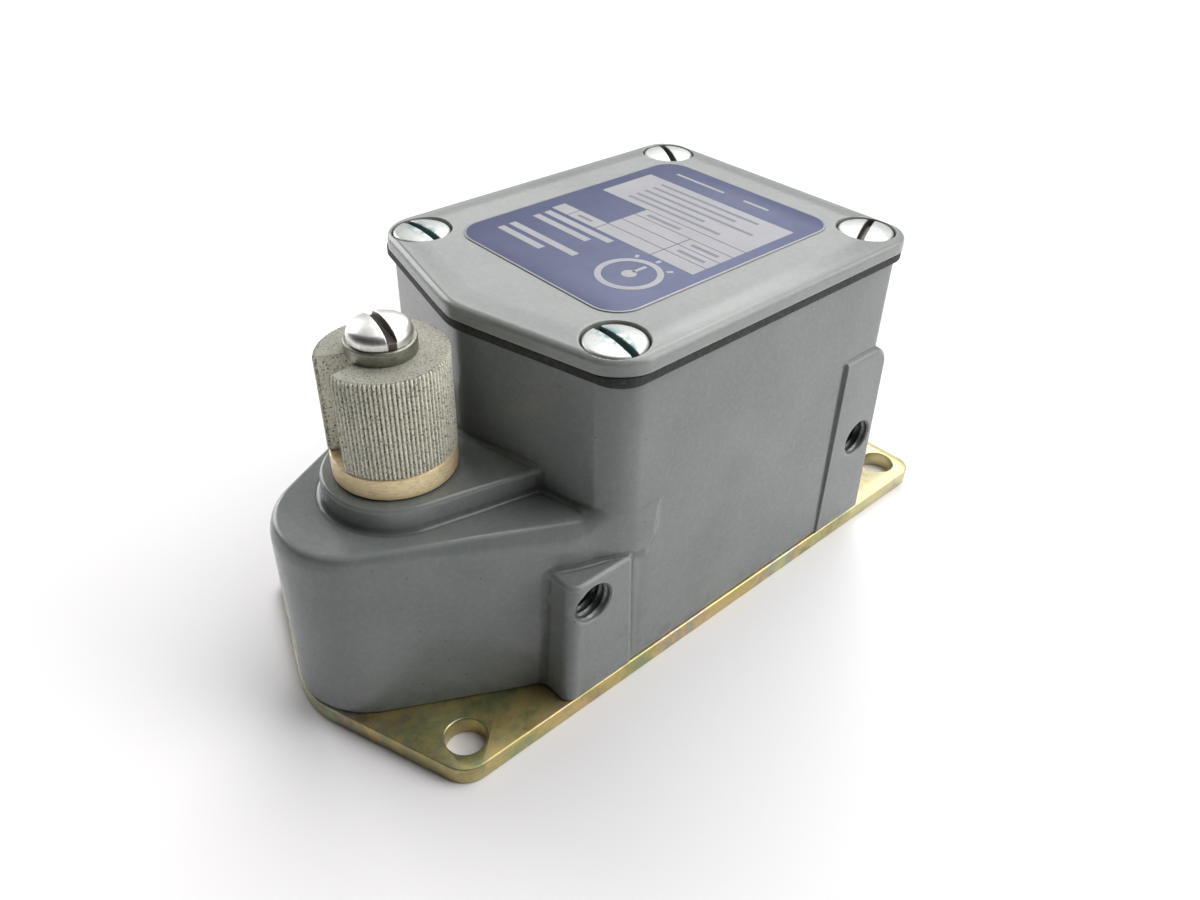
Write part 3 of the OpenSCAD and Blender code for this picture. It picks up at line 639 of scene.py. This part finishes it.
def printed(name, base, worn, metallic=0.3, rough=0.34):
    """Ink on a foil nameplate, faintly mottled."""
    t = Tree(name)
    col = t.mix(t.math("MULTIPLY", t.band(t.noise(0.12, 4, 0.6), 0.35, 0.7), 0.5), base, worn)
    col = t.mix(t.math("MULTIPLY", t.band(t.noise(2.5, 3, 0.7), 0.6, 0.75), 0.18), col, worn)
    return t.set(Base_Color=col, Metallic=metallic,
                 Roughness=t.math("MULTIPLY_ADD", t.noise(0.7, 3), 0.12, rough),
                 Normal=t.bump(t.noise(1.2, 3), 0.05, 0.12))


def moulded(name, base, dark, rough):
    """Moulded plastic, mottled and lightly pitted."""
    t = Tree(name)
    col = t.mix(t.band(t.noise(0.4, 5, 0.7), 0.35, 0.7), base, dark)
    col = t.mix(t.math("MULTIPLY", t.band(t.cells(0.8), 0.12, 0.06), 0.4), col, dark)
    return t.set(Base_Color=col, Roughness=t.math("MULTIPLY_ADD", t.noise(1.0, 3), 0.15, rough),
                 Normal=t.bump(t.noise(1.8, 4), 0.15, 0.2))


PAINT = paint("cast_paint_look", srgb(121, 125, 123), srgb(111, 116, 114), srgb(160, 164, 160))
COVER = paint("cover_paint_look", srgb(139, 142, 139), srgb(130, 134, 131), srgb(174, 177, 172), speck=0.3)
PLATE = chromate("chromate_look")
HUB = hub_finish("hub_look")
GASKET = rubber("gasket_look")
SCREW = cover_screw_finish("cover_screw_look")
SHAFT_SCREW = metal("hub_screw_look", srgb(236, 234, 230), srgb(110, 98, 84), 0.27, (1, 6, 1), 0.22, 0.12)
SPACER = metal("spacer_look", srgb(150, 150, 138), srgb(64, 62, 52), 0.32, (1, 1, 4), 0.5, 0.2)
COLLAR = metal("collar_look", srgb(248, 226, 180), srgb(140, 118, 80), 0.3, (1, 1, 5), 0.45, 0.15,
               metallic=0.25)
THREAD = metal("thread_look", srgb(120, 124, 122), srgb(30, 31, 30), 0.35, (1, 1, 1), 0.7, 0.2)


# ---------------------------------------------------------------- housing
def hollow(x, y, z):
    """The space inside the casting, less the posts and bosses left standing in it."""
    ax = np.abs(x)
    f = np.maximum(box2d(x, y, -3.0), 8 - z)
    nose = np.maximum(wedge2d(x, y, NOSE_Y, 10.6, NOSE_SPREAD), ax - 27.6)
    f = np.minimum(f, np.maximum(np.maximum(nose, y + 19), np.maximum(8 - z, z - 33.5)))
    for px, py, _ in SCREWS:
        f = np.maximum(f, 5.2 - np.hypot(x - px, y - py))
    for py, pz, deep in SIDE_HOLES:
        f = np.maximum(f, np.minimum(6 - np.hypot(y - py, z - pz), ax - (29.75 - deep)))
    f = np.maximum(f, np.minimum(13.5 - np.hypot(x, z - CONDUIT_Z), y - 36.1))
    return np.maximum(f, np.minimum(8.5 - np.hypot(x, y - SHAFT_Y), 12 - z))


def housing(x, y, z):
    """The casting: drafted box, round-nosed head, shaft pad and side bosses, hollowed and bored."""
    ax = np.abs(x)
    up = (z - PLATE_TOP) / 59.3
    box = box2d(x, y, 0.3 - 0.4 * up)
    box = rmax(box, y - (45.9 - 0.8 * smooth(0, 0.9, up)), 4.0)
    box = rmax(box, z - BOX_TOP, 0.35)
    # Head: spreading sides, a sloped shoulder that widens towards the box, flat top.
    near = smooth(-60, -27, y)
    side = wedge2d(x, y, NOSE_Y, 14.0, NOSE_SPREAD) + 0.5 * (z - PLATE_TOP) / 34.4
    side = rmax(side, ax - 31.0 + 0.4 * up, 4.0)
    width = 0.9 + 0.00103 * np.clip(y + 66.7, 0, 45) ** 2
    turn = 5.6 + 1.6 * near
    drop = np.maximum(z - HEAD_TOP + np.sqrt(2 * width * turn - width * width), 0)
    head = rmax(np.hypot(np.maximum(side + turn, 0), drop) - turn, z - HEAD_TOP, 0.5)
    head = np.maximum(head, y + 19)
    # Pad round the shaft, running back into the box wall.
    pad = wedge2d(x, y, SHAFT_Y, 12.45, 0.221) + 0.06 * (z - HEAD_TOP)
    pad = np.maximum(rmax(pad, z - PAD_TOP, 0.6), y + 24)
    # Bosses round the tapped side holes.
    lift = z - PLATE_TOP
    front = rmax(rmax(ax - SIDE_FACE, -36.6 + 0.04 * lift - y, 2.2), z - 29.9, 0.9)
    front = np.maximum(rmax(front, y + 22.0 + 0.03 * lift, 0.15), 20 - ax)
    rear = rmax(rmax(y - (46.7 - 0.04 * lift), z - 44.9, 4.5), ax - SIDE_FACE, 1.0)
    rear = np.maximum(rmax(rear, 32.1 - y, 0.15), 20 - ax)
    f = rmin(head, pad, 0.9)
    f = rmin(f, box, 0.25 + (0.6 + 2.6 * smooth(23.5, 28.5, ax)) * smooth(27, 33, z))
    f = rmin(rmin(f, front, 0.9), rear, 0.2)
    f = rmax(f, 3.72 - z, 0.3)
    f = rmax(f, -hollow(x, y, z), 0.35)
    # Bores.
    f = rmax(f, -np.maximum(np.hypot(x, y - SHAFT_Y) - 6.0, 5.6 - z), 0.3)
    for py, pz, deep in SIDE_HOLES:
        f = rmax(f, -np.maximum(np.hypot(y - py, z - pz) - 3.75, SIDE_FACE - deep - ax), 0.3)
    for px, py, _ in SCREWS:
        f = rmax(f, -np.maximum(np.hypot(x - px, y - py) - 2.65, 49.9 - z), 0.25)
    mouth = 9.1 + np.clip(y - 43.9, 0, 2.0)
    return rmax(f, -np.maximum(np.hypot(x, z - CONDUIT_Z) - mouth, 35.1 - y), 0.35)


def cover(x, y, z):
    """The lid, with a soft rim, a recess for each screw head and a shallow underside."""
    d = box2d(x, y, 0.9)
    f = rmax(d, z - (COVER_Z1 - 0.3 * smooth(-5.5, -0.8, d)), 1.15)
    f = rmax(f, COVER_Z0 - z, 0.25)
    for px, py, _ in SCREWS:
        r = np.hypot(x - px, y - py)
        f = rmax(f, -np.minimum(np.maximum(r - 5.32, SCREW_SEAT - z), r - 2.8), 0.15)
    under = np.maximum(np.maximum(np.abs(x) - 18, np.abs(y - 10) - 25), z - 65.9)
    return rmax(f, -under, 0.3)


def slot_marks(head, rim, dome, slot):
    """The floor of a screw's slot and where bloom creeps out of it."""
    ball = (head * head + dome * dome) / (2 * dome)

    def floor(x, y, z):
        cap = rim + dome - ball + np.sqrt(np.maximum(ball * ball - x * x - y * y, 0))
        return (np.abs(y) < slot / 2 + 0.02) * smooth(0.1, 0.45, cap - z) * (np.hypot(x, y) < head + 0.1)

    def bloom(x, y, z):
        beside = 1 - smooth(slot / 2, slot / 2 + 1.5, np.abs(y))
        return (z > rim * 0.4) * beside * (1 - smooth(3.6, 4.8, np.abs(x)))
    return {"slot_floor": floor, "bloom": bloom}


def screw_field(shank, length, head, rim, dome, slot, deep=1.7, pitch=1.0, rim_round=0.5):
    """A slotted screw standing on Z = 0 with its threaded shank below."""
    ball = (head * head + dome * dome) / (2 * dome)

    def f(x, y, z):
        r = np.hypot(x, y)
        cap = np.sqrt(r * r + (z - (rim + dome - ball)) ** 2) - ball
        top = rmax(rmax(r - head, cap, rim_round), -z, 0.12)
        cut = rmax(np.abs(y) - slot / 2, (rim + dome - deep) - z, 0.12)
        top = rmax(top, -cut, 0.14)
        turn = np.arctan2(y, x) / (2 * math.pi)
        ridge = np.abs((z / pitch - turn) % 1 - 0.5) * 2
        thread = np.where(z < -3.0, shank - 0.42 * (1 - ridge), shank - 0.3)
        rod = rmax((r - thread) * 0.8, np.maximum(-length - z, z - 0.3), 0.2)
        return np.minimum(top, rod)
    return f


field_piece("housing_casting", housing, (-33, -69.5, 3.0), (33, 47.6, 64), 0.42, "housing_body", PAINT,
            ratio=0.3, hidden=lambda x, y, z: np.abs(hollow(x, y, z)) < 0.6, replaces=["housing"],
            slot="cast_paint")
field_piece("cover_plate", cover, (-33, -35.5, 63.8), (33, 47, 68.3), 0.27, "housing_body", COVER,
            ratio=0.33, bend=0.5, replaces=["cover"], slot="cover_paint",
            keep=lambda x, y, z: np.hypot(np.abs(x) - 25, np.where(y < 9, y + 21.8, y - 39.7)) < 8.6)

slab("gasket_sheet",
     [rounded_loop([(0, -33.95), (31.77, -33.95 + 31.77 * V_SLOPE), (31.77, 45.87), (-31.77, 45.87),
                    (-31.77, -33.95 + 31.77 * V_SLOPE)], [12, 5.5, 5.6, 5.6, 5.5], 16),
      rounded_loop([(-27.4, -15), (27.4, -15), (27.4, 33), (-27.4, 33)], [6, 6, 6, 6], 8)],
     BOX_TOP, COVER_Z0, 0.25, "housing_body", GASKET, replaces=["cover_gasket"], slot="black_rubber")

plate_edge = rounded_loop([(0, -69.39), (SIDE_FACE, -57.834), (SIDE_FACE, 68.35), (-SIDE_FACE, 68.35),
                           (-SIDE_FACE, -57.834)], [16, 5, 4, 4, 5], 16)
plate_holes = [arc(sx * 25.4, 4.8 + sy * 58.15, 3.6, 0, 360 * 47 / 48, 47)
               for sx in (-1, 1) for sy in (-1, 1)]
plate_sinks = [arc(px, py, 2.55, 0, 360 * 23 / 24, 23) for px in (-18, 18) for py in (-38, 38)]
slab("mounting_plate", [plate_edge] + plate_holes + plate_sinks, 0, PLATE_TOP, 0.28, "housing_body", PLATE,
     replaces=["base_plate"], slot="chromate")

field_piece("cover_screw_set", screw_field(2.6, 14, *COVER_SCREW_HEAD), (-5.6, -5.6, -14.4), (5.6, 5.6, 3.2),
            0.16, "housing_body", SCREW, ratio=0.4, bend=0.25,
            at=[(px, py, SCREW_SEAT, turn) for px, py, turn in SCREWS],
            marks=slot_marks(*COVER_SCREW_HEAD), replaces=["cover_screws"], slot="steel")
field_piece("lever_screw", screw_field(2.0, 14, *LEVER_SCREW_HEAD, deep=2.0, rim_round=0.9),
            (-5.6, -5.6, -14.4), (5.6, 5.6, 3.5), 0.14, "rotor", SHAFT_SCREW, ratio=0.5, bend=0.25,
            at=[(0, SHAFT_Y, HUB_Z1 + 2.3, -10)], marks=slot_marks(*LEVER_SCREW_HEAD),
            replaces=["hub_screw"], slot="steel")

v, q = lathe(ring_profile(2.2, 5.5, 0, 2.3, 0.22))
creased(mesh_piece("spacer_ring", v + (0, SHAFT_Y, HUB_Z1), q, "rotor", SPACER, replaces=["hub_spacer"],
                   slot="steel"), 60)
v, q = lathe(ring_profile(4.03, 10.1, 42.6, 46.5, 0.3), 128)
creased(mesh_piece("gold_collar", v + (0, SHAFT_Y, 0), q, "rotor", COLLAR, replaces=["shaft_collar"],
                   slot="chromate"), 60)


def hub_mesh():
    """A C-shaped drum with 93 ridges, its gap walls nearly radial."""
    step = 2 * math.pi / 93
    a0, a1 = math.radians(-80), math.radians(360 - 117)
    shape = [(0.0, 0.0), (0.18, 0.02), (0.36, 0.30), (0.5, 0.45), (0.64, 0.30), (0.82, 0.02)]
    angles, depths = [], []
    for i in range(-24, 70):
        for u, d in shape:
            a = (i + u) * step
            if a0 <= a <= a1:
                angles.append(a)
                depths.append(d * (0.8 + 0.2 * rng.random()))
    angles = np.array([a0] + angles + [a1])
    depths = np.array([0.2] + depths + [0.2])
    z0, z1, c = HUB_Z0, HUB_Z1, 0.3
    ring = []
    # Each entry: (how much of the ridge depth applies, inset, radius if fixed, z)
    for part, inset, fixed, z in [(0, 0, 4.03, z0), (0, 0, 9.2, z0), (1, c, None, z0), (1, 0, None, z0 + c),
                                  (1, 0, None, (z0 + z1) / 2), (1, 0, None, z1 - c), (1, 0.12, None, z1 - 0.1),
                                  (0.6, c, None, z1), (0, 0, 9.2, z1), (0, 0, 4.03, z1)]:
        r = np.full(len(angles), fixed) if fixed else HUB_R - inset - part * depths
        ring.append(np.stack([r * np.cos(angles), SHAFT_Y + r * np.sin(angles), np.full(len(angles), z)], 1))
    v = np.concatenate(ring)
    n, m = len(angles), len(ring)
    faces = [(j * n + i, j * n + i + 1, ((j + 1) % m) * n + i + 1, ((j + 1) % m) * n + i)
             for j in range(m) for i in range(n - 1)]
    faces.append(tuple(j * n for j in range(m))[::-1])
    faces.append(tuple(j * n + n - 1 for j in range(m)))
    return v, faces


v, faces = hub_mesh()
creased(mesh_piece("serrated_hub", v, faces, "rotor", HUB, replaces=["knurled_hub"], slot="hub_steel"), 32)


def thread_sleeve(side, y0, z0, deep):
    """A tapped hole's thread: ridges wound round the inside of the bore."""
    n, m, pitch = 56, 90, 1.35
    a = np.arange(n) * 2 * math.pi / n
    s = np.linspace(0, deep - 0.4, m)
    A, S = np.meshgrid(a, s, indexing="ij")
    tri = np.abs(((S / pitch - A / (2 * math.pi)) % 1) - 0.5) * 2
    r = 3.82 - 0.5 * smooth(0.15, 0.85, tri) * smooth(0, 1.2, S + 0.4)
    r[:, 0] = 3.86
    inner = np.stack([side * (31.55 - S), y0 + r * np.cos(A), z0 + r * np.sin(A)], 2)
    outer = np.stack([side * (31.55 - S), y0 + 4.1 * np.cos(A), z0 + 4.1 * np.sin(A)], 2)
    outer[:, :, 0] = side * (31.55 - np.clip(S, 0.3, None))
    loop = np.concatenate([inner, outer[:, ::-1]], 1)
    k = loop.shape[1]
    i, j = np.meshgrid(np.arange(n), np.arange(k), indexing="ij")
    i2, j2 = (i + 1) % n, (j + 1) % k
    quads = np.stack([i * k + j, i2 * k + j, i2 * k + j2, i * k + j2], 2)
    return loop.reshape(-1, 3), quads.reshape(-1, 4)


parts = [thread_sleeve(side, *hole) for side in (1, -1) for hole in SIDE_HOLES]
v = np.concatenate([p[0] for p in parts])
q = np.concatenate([p[1] + i * len(parts[0][0]) for i, p in enumerate(parts)])
creased(mesh_piece("tapped_threads", v, q, "housing_body", THREAD, slot="cast_paint"), 50)


# ---------------------------------------------------------------- nameplate
BLUE = printed("label_blue", srgb(62, 70, 106), srgb(76, 82, 114), 0.15, 0.38)
SILVER = printed("label_silver", srgb(152, 152, 156), srgb(138, 138, 144), 0.25, 0.4)
PRINT = printed("label_print", srgb(104, 105, 118), srgb(116, 117, 128))
LINE = printed("label_line", srgb(78, 80, 96), srgb(92, 92, 104))


def panels(name, rects, z0, z1, material):
    """Thin printed areas: rectangles (x0, x1, y0, y1) or outlines."""
    vs, fs, at = [], [], 0
    for item in rects:
        loop = item if len(item[:1]) and isinstance(item[0], tuple) else [
            (item[0], item[2]), (item[1], item[2]), (item[1], item[3]), (item[0], item[3])]
        k = len(loop)
        vs += [(x, y, z0) for x, y in loop] + [(x, y, z1) for x, y in loop]
        fs += [tuple(range(at + k - 1, at - 1, -1)), tuple(range(at + k, at + 2 * k))]
        fs += [(at + i, at + (i + 1) % k, at + k + (i + 1) % k, at + k + i) for i in range(k)]
        at += 2 * k
    return mesh_piece(name, vs, fs, "housing_body", material, smooth_faces=False, slot="label")


L0, L1 = COVER_Z1 + 0.06, COVER_Z1 + 0.2
slab("nameplate_foil",
     [rounded_loop([(21, -18.3), (21, 36.4), (-21, 36.4), (-21, -18.3)], [5.5, 5, 5, 5.5], 14)],
     COVER_Z1 - 0.08, L1 - 0.03, 0.04, "housing_body", SILVER, steps=1, replaces=["nameplate"], slot="label")
slab("nameplate_blue", [rounded_loop([(20.6, -17.9), (20.6, 36.0), (-20.6, 36.0), (-20.6, -17.9)],
                                     [5.1, 4.6, 4.6, 5.1], 14)],
     L0, L1, 0.01, "housing_body", BLUE, steps=1, slot="label")
Z = L1 + 0.015
panels("nameplate_table", [(-17.8, 18.3, 14.5, 27.4), (-5.5, 18.3, 4.7, 14.5), (-17.3, 18.3, 1.5, 4.7)],
       L1 - 0.02, Z, SILVER)
panels("nameplate_rules",
       [(-5.5, 18.3, y - 0.1, y + 0.1) for y in (14.5, 11.3, 8.0)] + [(-17.3, 18.3, 4.6, 4.8)]
       + [(8.4, 8.6, 1.5, 11.3), (-5.6, -5.4, 1.5, 4.7), (-13.1, -12.9, 1.5, 4.7)],
       L1 - 0.01, Z + 0.012, LINE)


def ring_tiles(cx, cy, r0, r1, n=40):
    """A flat ring as four-sided tiles."""
    out = []
    for k in range(n):
        a = math.radians(360 * k / n)
        b = math.radians(360 * (k + 1) / n)
        corners = ((r0, a), (r1, a), (r1, b), (r0, b))
        out.append([(cx + r * math.cos(t), cy + r * math.sin(t)) for r, t in corners])
    return out


# A plain dial with travel ticks and a pointer, and plain bars where the wording would be.
dial = ring_tiles(11.4, -6.2, 4.6, 5.7) + ring_tiles(11.4, -6.2, 0.0, 1.3, n=20)
dial += [[(11.4 + r * math.cos(math.radians(a)) - w * math.sin(math.radians(a)),
           -6.2 + r * math.sin(math.radians(a)) + w * math.cos(math.radians(a)))
          for r, w in ((r0, -0.35), (r1, -0.35), (r1, 0.35), (r0, 0.35))]
         for a, r0, r1 in ((90, 1.0, 3.9), (55, 6.2, 7.3), (90, 6.2, 7.3), (125, 6.2, 7.3))]
bars = [(x0, x1, y, y + 1.5) for y, x0, x1 in ((-1.0, -16.6, 0.6), (-3.6, -16.6, -2.4), (-9.0, -16.6, 0.6),
                                               (-11.6, -16.6, -5.2))]
panels("nameplate_marks", dial + bars + [(-14.5, -2.0, 31.2, 31.9), (3.0, 9.0, 31.2, 31.9)],
       L1 - 0.01, Z, SILVER)
lines = [(x0, x1, y, y + 0.75) for y, x0, x1 in ((24.8, -12.5, 12.0), (22.6, -12.5, 8.5), (20.4, -12.5, 14.5),
                                                 (18.2, -12.5, 5.0), (16.2, -12.5, 10.5))]
lines += [(10.3, 16.5, y, y + 0.8) for y in (9.2, 5.9)] + [(-3.6, 4.5, 12.4, 13.2), (-11.6, -8.0, 2.7, 3.4)]
panels("nameplate_print", lines, Z - 0.01, Z + 0.012, PRINT)


# ---------------------------------------------------------------- return springs
def coil_spring(node, material, wire=0.42, turns=8, steps=18, sides=8):
    """A coil filling a CAD spring's box along X, stretched between the fixed wall and the carriage."""
    lo, hi = [np.array(v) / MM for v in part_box(node)]
    lo[0], hi[0] = lo[0] + wire, hi[0] - wire
    radius = (hi[2] - lo[2]) / 2 - wire
    count = turns * steps + 1
    a = np.linspace(0, turns * 2 * math.pi, count)
    along = smooth(0, 1, np.linspace(0, 1, count)) * 0.15 + np.linspace(0, 1, count) * 0.85
    centre = np.stack([lo[0] + along * (hi[0] - lo[0]), (lo[1] + hi[1]) / 2 + radius * np.cos(a),
                       (lo[2] + hi[2]) / 2 + radius * np.sin(a)], 1)
    out = np.stack([np.zeros(count), np.cos(a), np.sin(a)], 1)
    b = np.arange(sides) * 2 * math.pi / sides
    ring = centre[:, None] + wire * (np.cos(b)[None, :, None] * out[:, None]
                                     + np.sin(b)[None, :, None] * np.array((1.0, 0, 0)))
    i, j = np.meshgrid(np.arange(count - 1), np.arange(sides), indexing="ij")
    j2 = (j + 1) % sides
    faces = np.stack([i * sides + j, (i + 1) * sides + j, (i + 1) * sides + j2, i * sides + j2], 2)
    faces = [tuple(int(k) for k in q) for q in faces.reshape(-1, 4)]
    faces += [tuple(range(sides)), tuple(count * sides - 1 - k for k in range(sides))]
    me = bpy.data.meshes.new(node + "_coil")
    me.from_pydata([tuple(v * MM) for v in ring.reshape(-1, 3)], [], faces)
    ob = bpy.data.objects.new(node + "_coil", me)
    bpy.context.scene.collection.objects.link(ob)
    me.materials.append(material)
    creased(ob, 60)
    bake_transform(ob)
    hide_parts(node)


SPRING = metal("spring_steel_look", srgb(92, 92, 94), srgb(46, 45, 44), 0.34, (1, 1, 1), 0.5, 0.15)
coil_spring("return_spring_left", SPRING)
coil_spring("return_spring_right", SPRING)


# ---------------------------------------------------------------- pieces shown as modelled
def dress(material, *names):
    """Gives carried-over nodes a finish."""
    for n in names:
        me = NODES[n].data
        me.materials.clear()
        me.materials.append(material)


dress(metal("zinc_look", srgb(186, 188, 186), srgb(104, 104, 98), 0.3, (1, 1, 4), 0.4, 0.15),
      "plate_screws", "base_screws", "terminal_screws")
dress(metal("turned_steel_look", srgb(166, 166, 164), srgb(88, 86, 80), 0.24, (1, 1, 8), 0.35, 0.12), "shaft")
dress(SPRING, "retaining_ring", "bridge_springs")
dress(metal("sintered_steel_look", srgb(134, 134, 130), srgb(72, 70, 64), 0.42, (1, 1, 1), 0.6, 0.35),
      "crank_arm")
dress(metal("hard_pin_look", srgb(204, 206, 208), srgb(120, 118, 112), 0.14, (1, 1, 6), 0.3, 0.08),
      "crank_stud", "crank_roll_pin")
dress(metal("bronze_look", srgb(176, 134, 78), srgb(96, 68, 36), 0.36, (1, 1, 1), 0.6, 0.3),
      "upper_bushing", "lower_bushing")
dress(GASKET, "shaft_seal")
dress(moulded("phenolic_look", srgb(52, 42, 36), srgb(34, 27, 24), 0.42), "switch_base")
dress(moulded("tan_moulding_look", srgb(150, 92, 50), srgb(118, 70, 38), 0.38), "carriage")
dress(metal("copper_look", srgb(196, 128, 88), srgb(112, 66, 44), 0.24, (4, 1, 1), 0.5, 0.12),
      "contact_bridge", "fixed_terminals")
dress(metal("contact_silver_look", srgb(222, 222, 218), srgb(128, 122, 112), 0.18, (1, 1, 1), 0.45, 0.1),
      "moving_contacts", "fixed_contacts")
dress(metal("clamp_chromate_look", srgb(202, 184, 122), srgb(116, 98, 56), 0.3, (1, 1, 1), 0.5, 0.15),
      "wire_clamps")
dress(metal("green_lacquer_look", srgb(58, 124, 74), srgb(34, 74, 46), 0.28, (1, 1, 1), 0.5, 0.12,
            metallic=0.4), "ground_screw")


# ---------------------------------------------------------------- floor, light and camera
def build_floor():
    me = bpy.data.meshes.new("floor")
    me.from_pydata([(-4, -4, 0), (4, -4, 0), (4, 4, 0), (-4, 4, 0)], [], [(0, 1, 2, 3)])
    ob = bpy.data.objects.new("floor", me)
    bpy.context.scene.collection.objects.link(ob)
    t = Tree("floor_look")
    col = t.mix(t.band(t.noise(0.004, 2), 0.3, 0.7), srgb(246, 245, 246), srgb(240, 238, 239))
    me.materials.append(t.set(Base_Color=col, Roughness=0.6, Specular_IOR_Level=0.25))


def area_light(name, loc, target, size, power):
    data = bpy.data.lights.new(name, "AREA")
    data.shape = "RECTANGLE"
    data.size, data.size_y = size
    data.energy = power
    ob = bpy.data.objects.new(name, data)
    ob.location = loc
    ob.rotation_mode = "QUATERNION"
    ob.rotation_quaternion = (Vector(target) - Vector(loc)).to_track_quat("-Z", "Y")
    bpy.context.scene.collection.objects.link(ob)


build_floor()
area_light("back_window", (0.1, 0.75, 1.4), (0, 0, 0.02), (2.2, 1.3), 30)
area_light("top_left_window", (-0.75, 0.7, 0.8), (0, 0, 0.04), (0.8, 0.8), 3.4)
area_light("right_window", (0.85, 0.75, 0.5), (0, 0, 0.04), (0.8, 0.8), 7.5)
area_light("left_window", (-1.0, -0.15, 0.4), (0, 0, 0.04), (0.5, 0.7), 5.5)

world = bpy.data.worlds.new("room")
bpy.context.scene.world = world
world.use_nodes = True
nt = world.node_tree
nt.nodes.clear()
out = nt.nodes.new("ShaderNodeOutputWorld")
back = nt.nodes.new("ShaderNodeBackground")
nt.links.new(back.outputs[0], out.inputs[0])
coord = nt.nodes.new("ShaderNodeTexCoord")
dot = nt.nodes.new("ShaderNodeVectorMath")
dot.operation = "DOT_PRODUCT"
dot.inputs[1].default_value = (-0.42, 0.62, 0.66)
nt.links.new(coord.outputs["Generated"], dot.inputs[0])
shade = nt.nodes.new("ShaderNodeMapRange")
shade.interpolation_type = "SMOOTHSTEP"
shade.inputs["From Min"].default_value = 0.1
shade.inputs["From Max"].default_value = 0.95
shade.inputs["To Min"].default_value = 0.03
shade.inputs["To Max"].default_value = 0.32
nt.links.new(dot.outputs["Value"], shade.inputs["Value"])
nt.links.new(shade.outputs[0], back.inputs["Strength"])
back.inputs["Color"].default_value = (0.97, 0.98, 1.0, 1)

cam = bpy.data.cameras.new("camera")
cam.sensor_width = 36
cam.lens = CAMERA_LENS
cam.clip_start, cam.clip_end = 0.005, 20
eye = bpy.data.objects.new("camera", cam)
bpy.context.scene.collection.objects.link(eye)
turn = Euler([math.radians(a) for a in CAMERA_TURN])
eye.matrix_world = Matrix.Translation(CAMERA_AT) @ turn.to_matrix().to_4x4()
bpy.context.scene.camera = eye
bpy.context.scene.view_settings.view_transform = "Standard"
bpy.context.scene.view_settings.look = "None"
bpy.context.scene.view_settings.exposure = 0.0
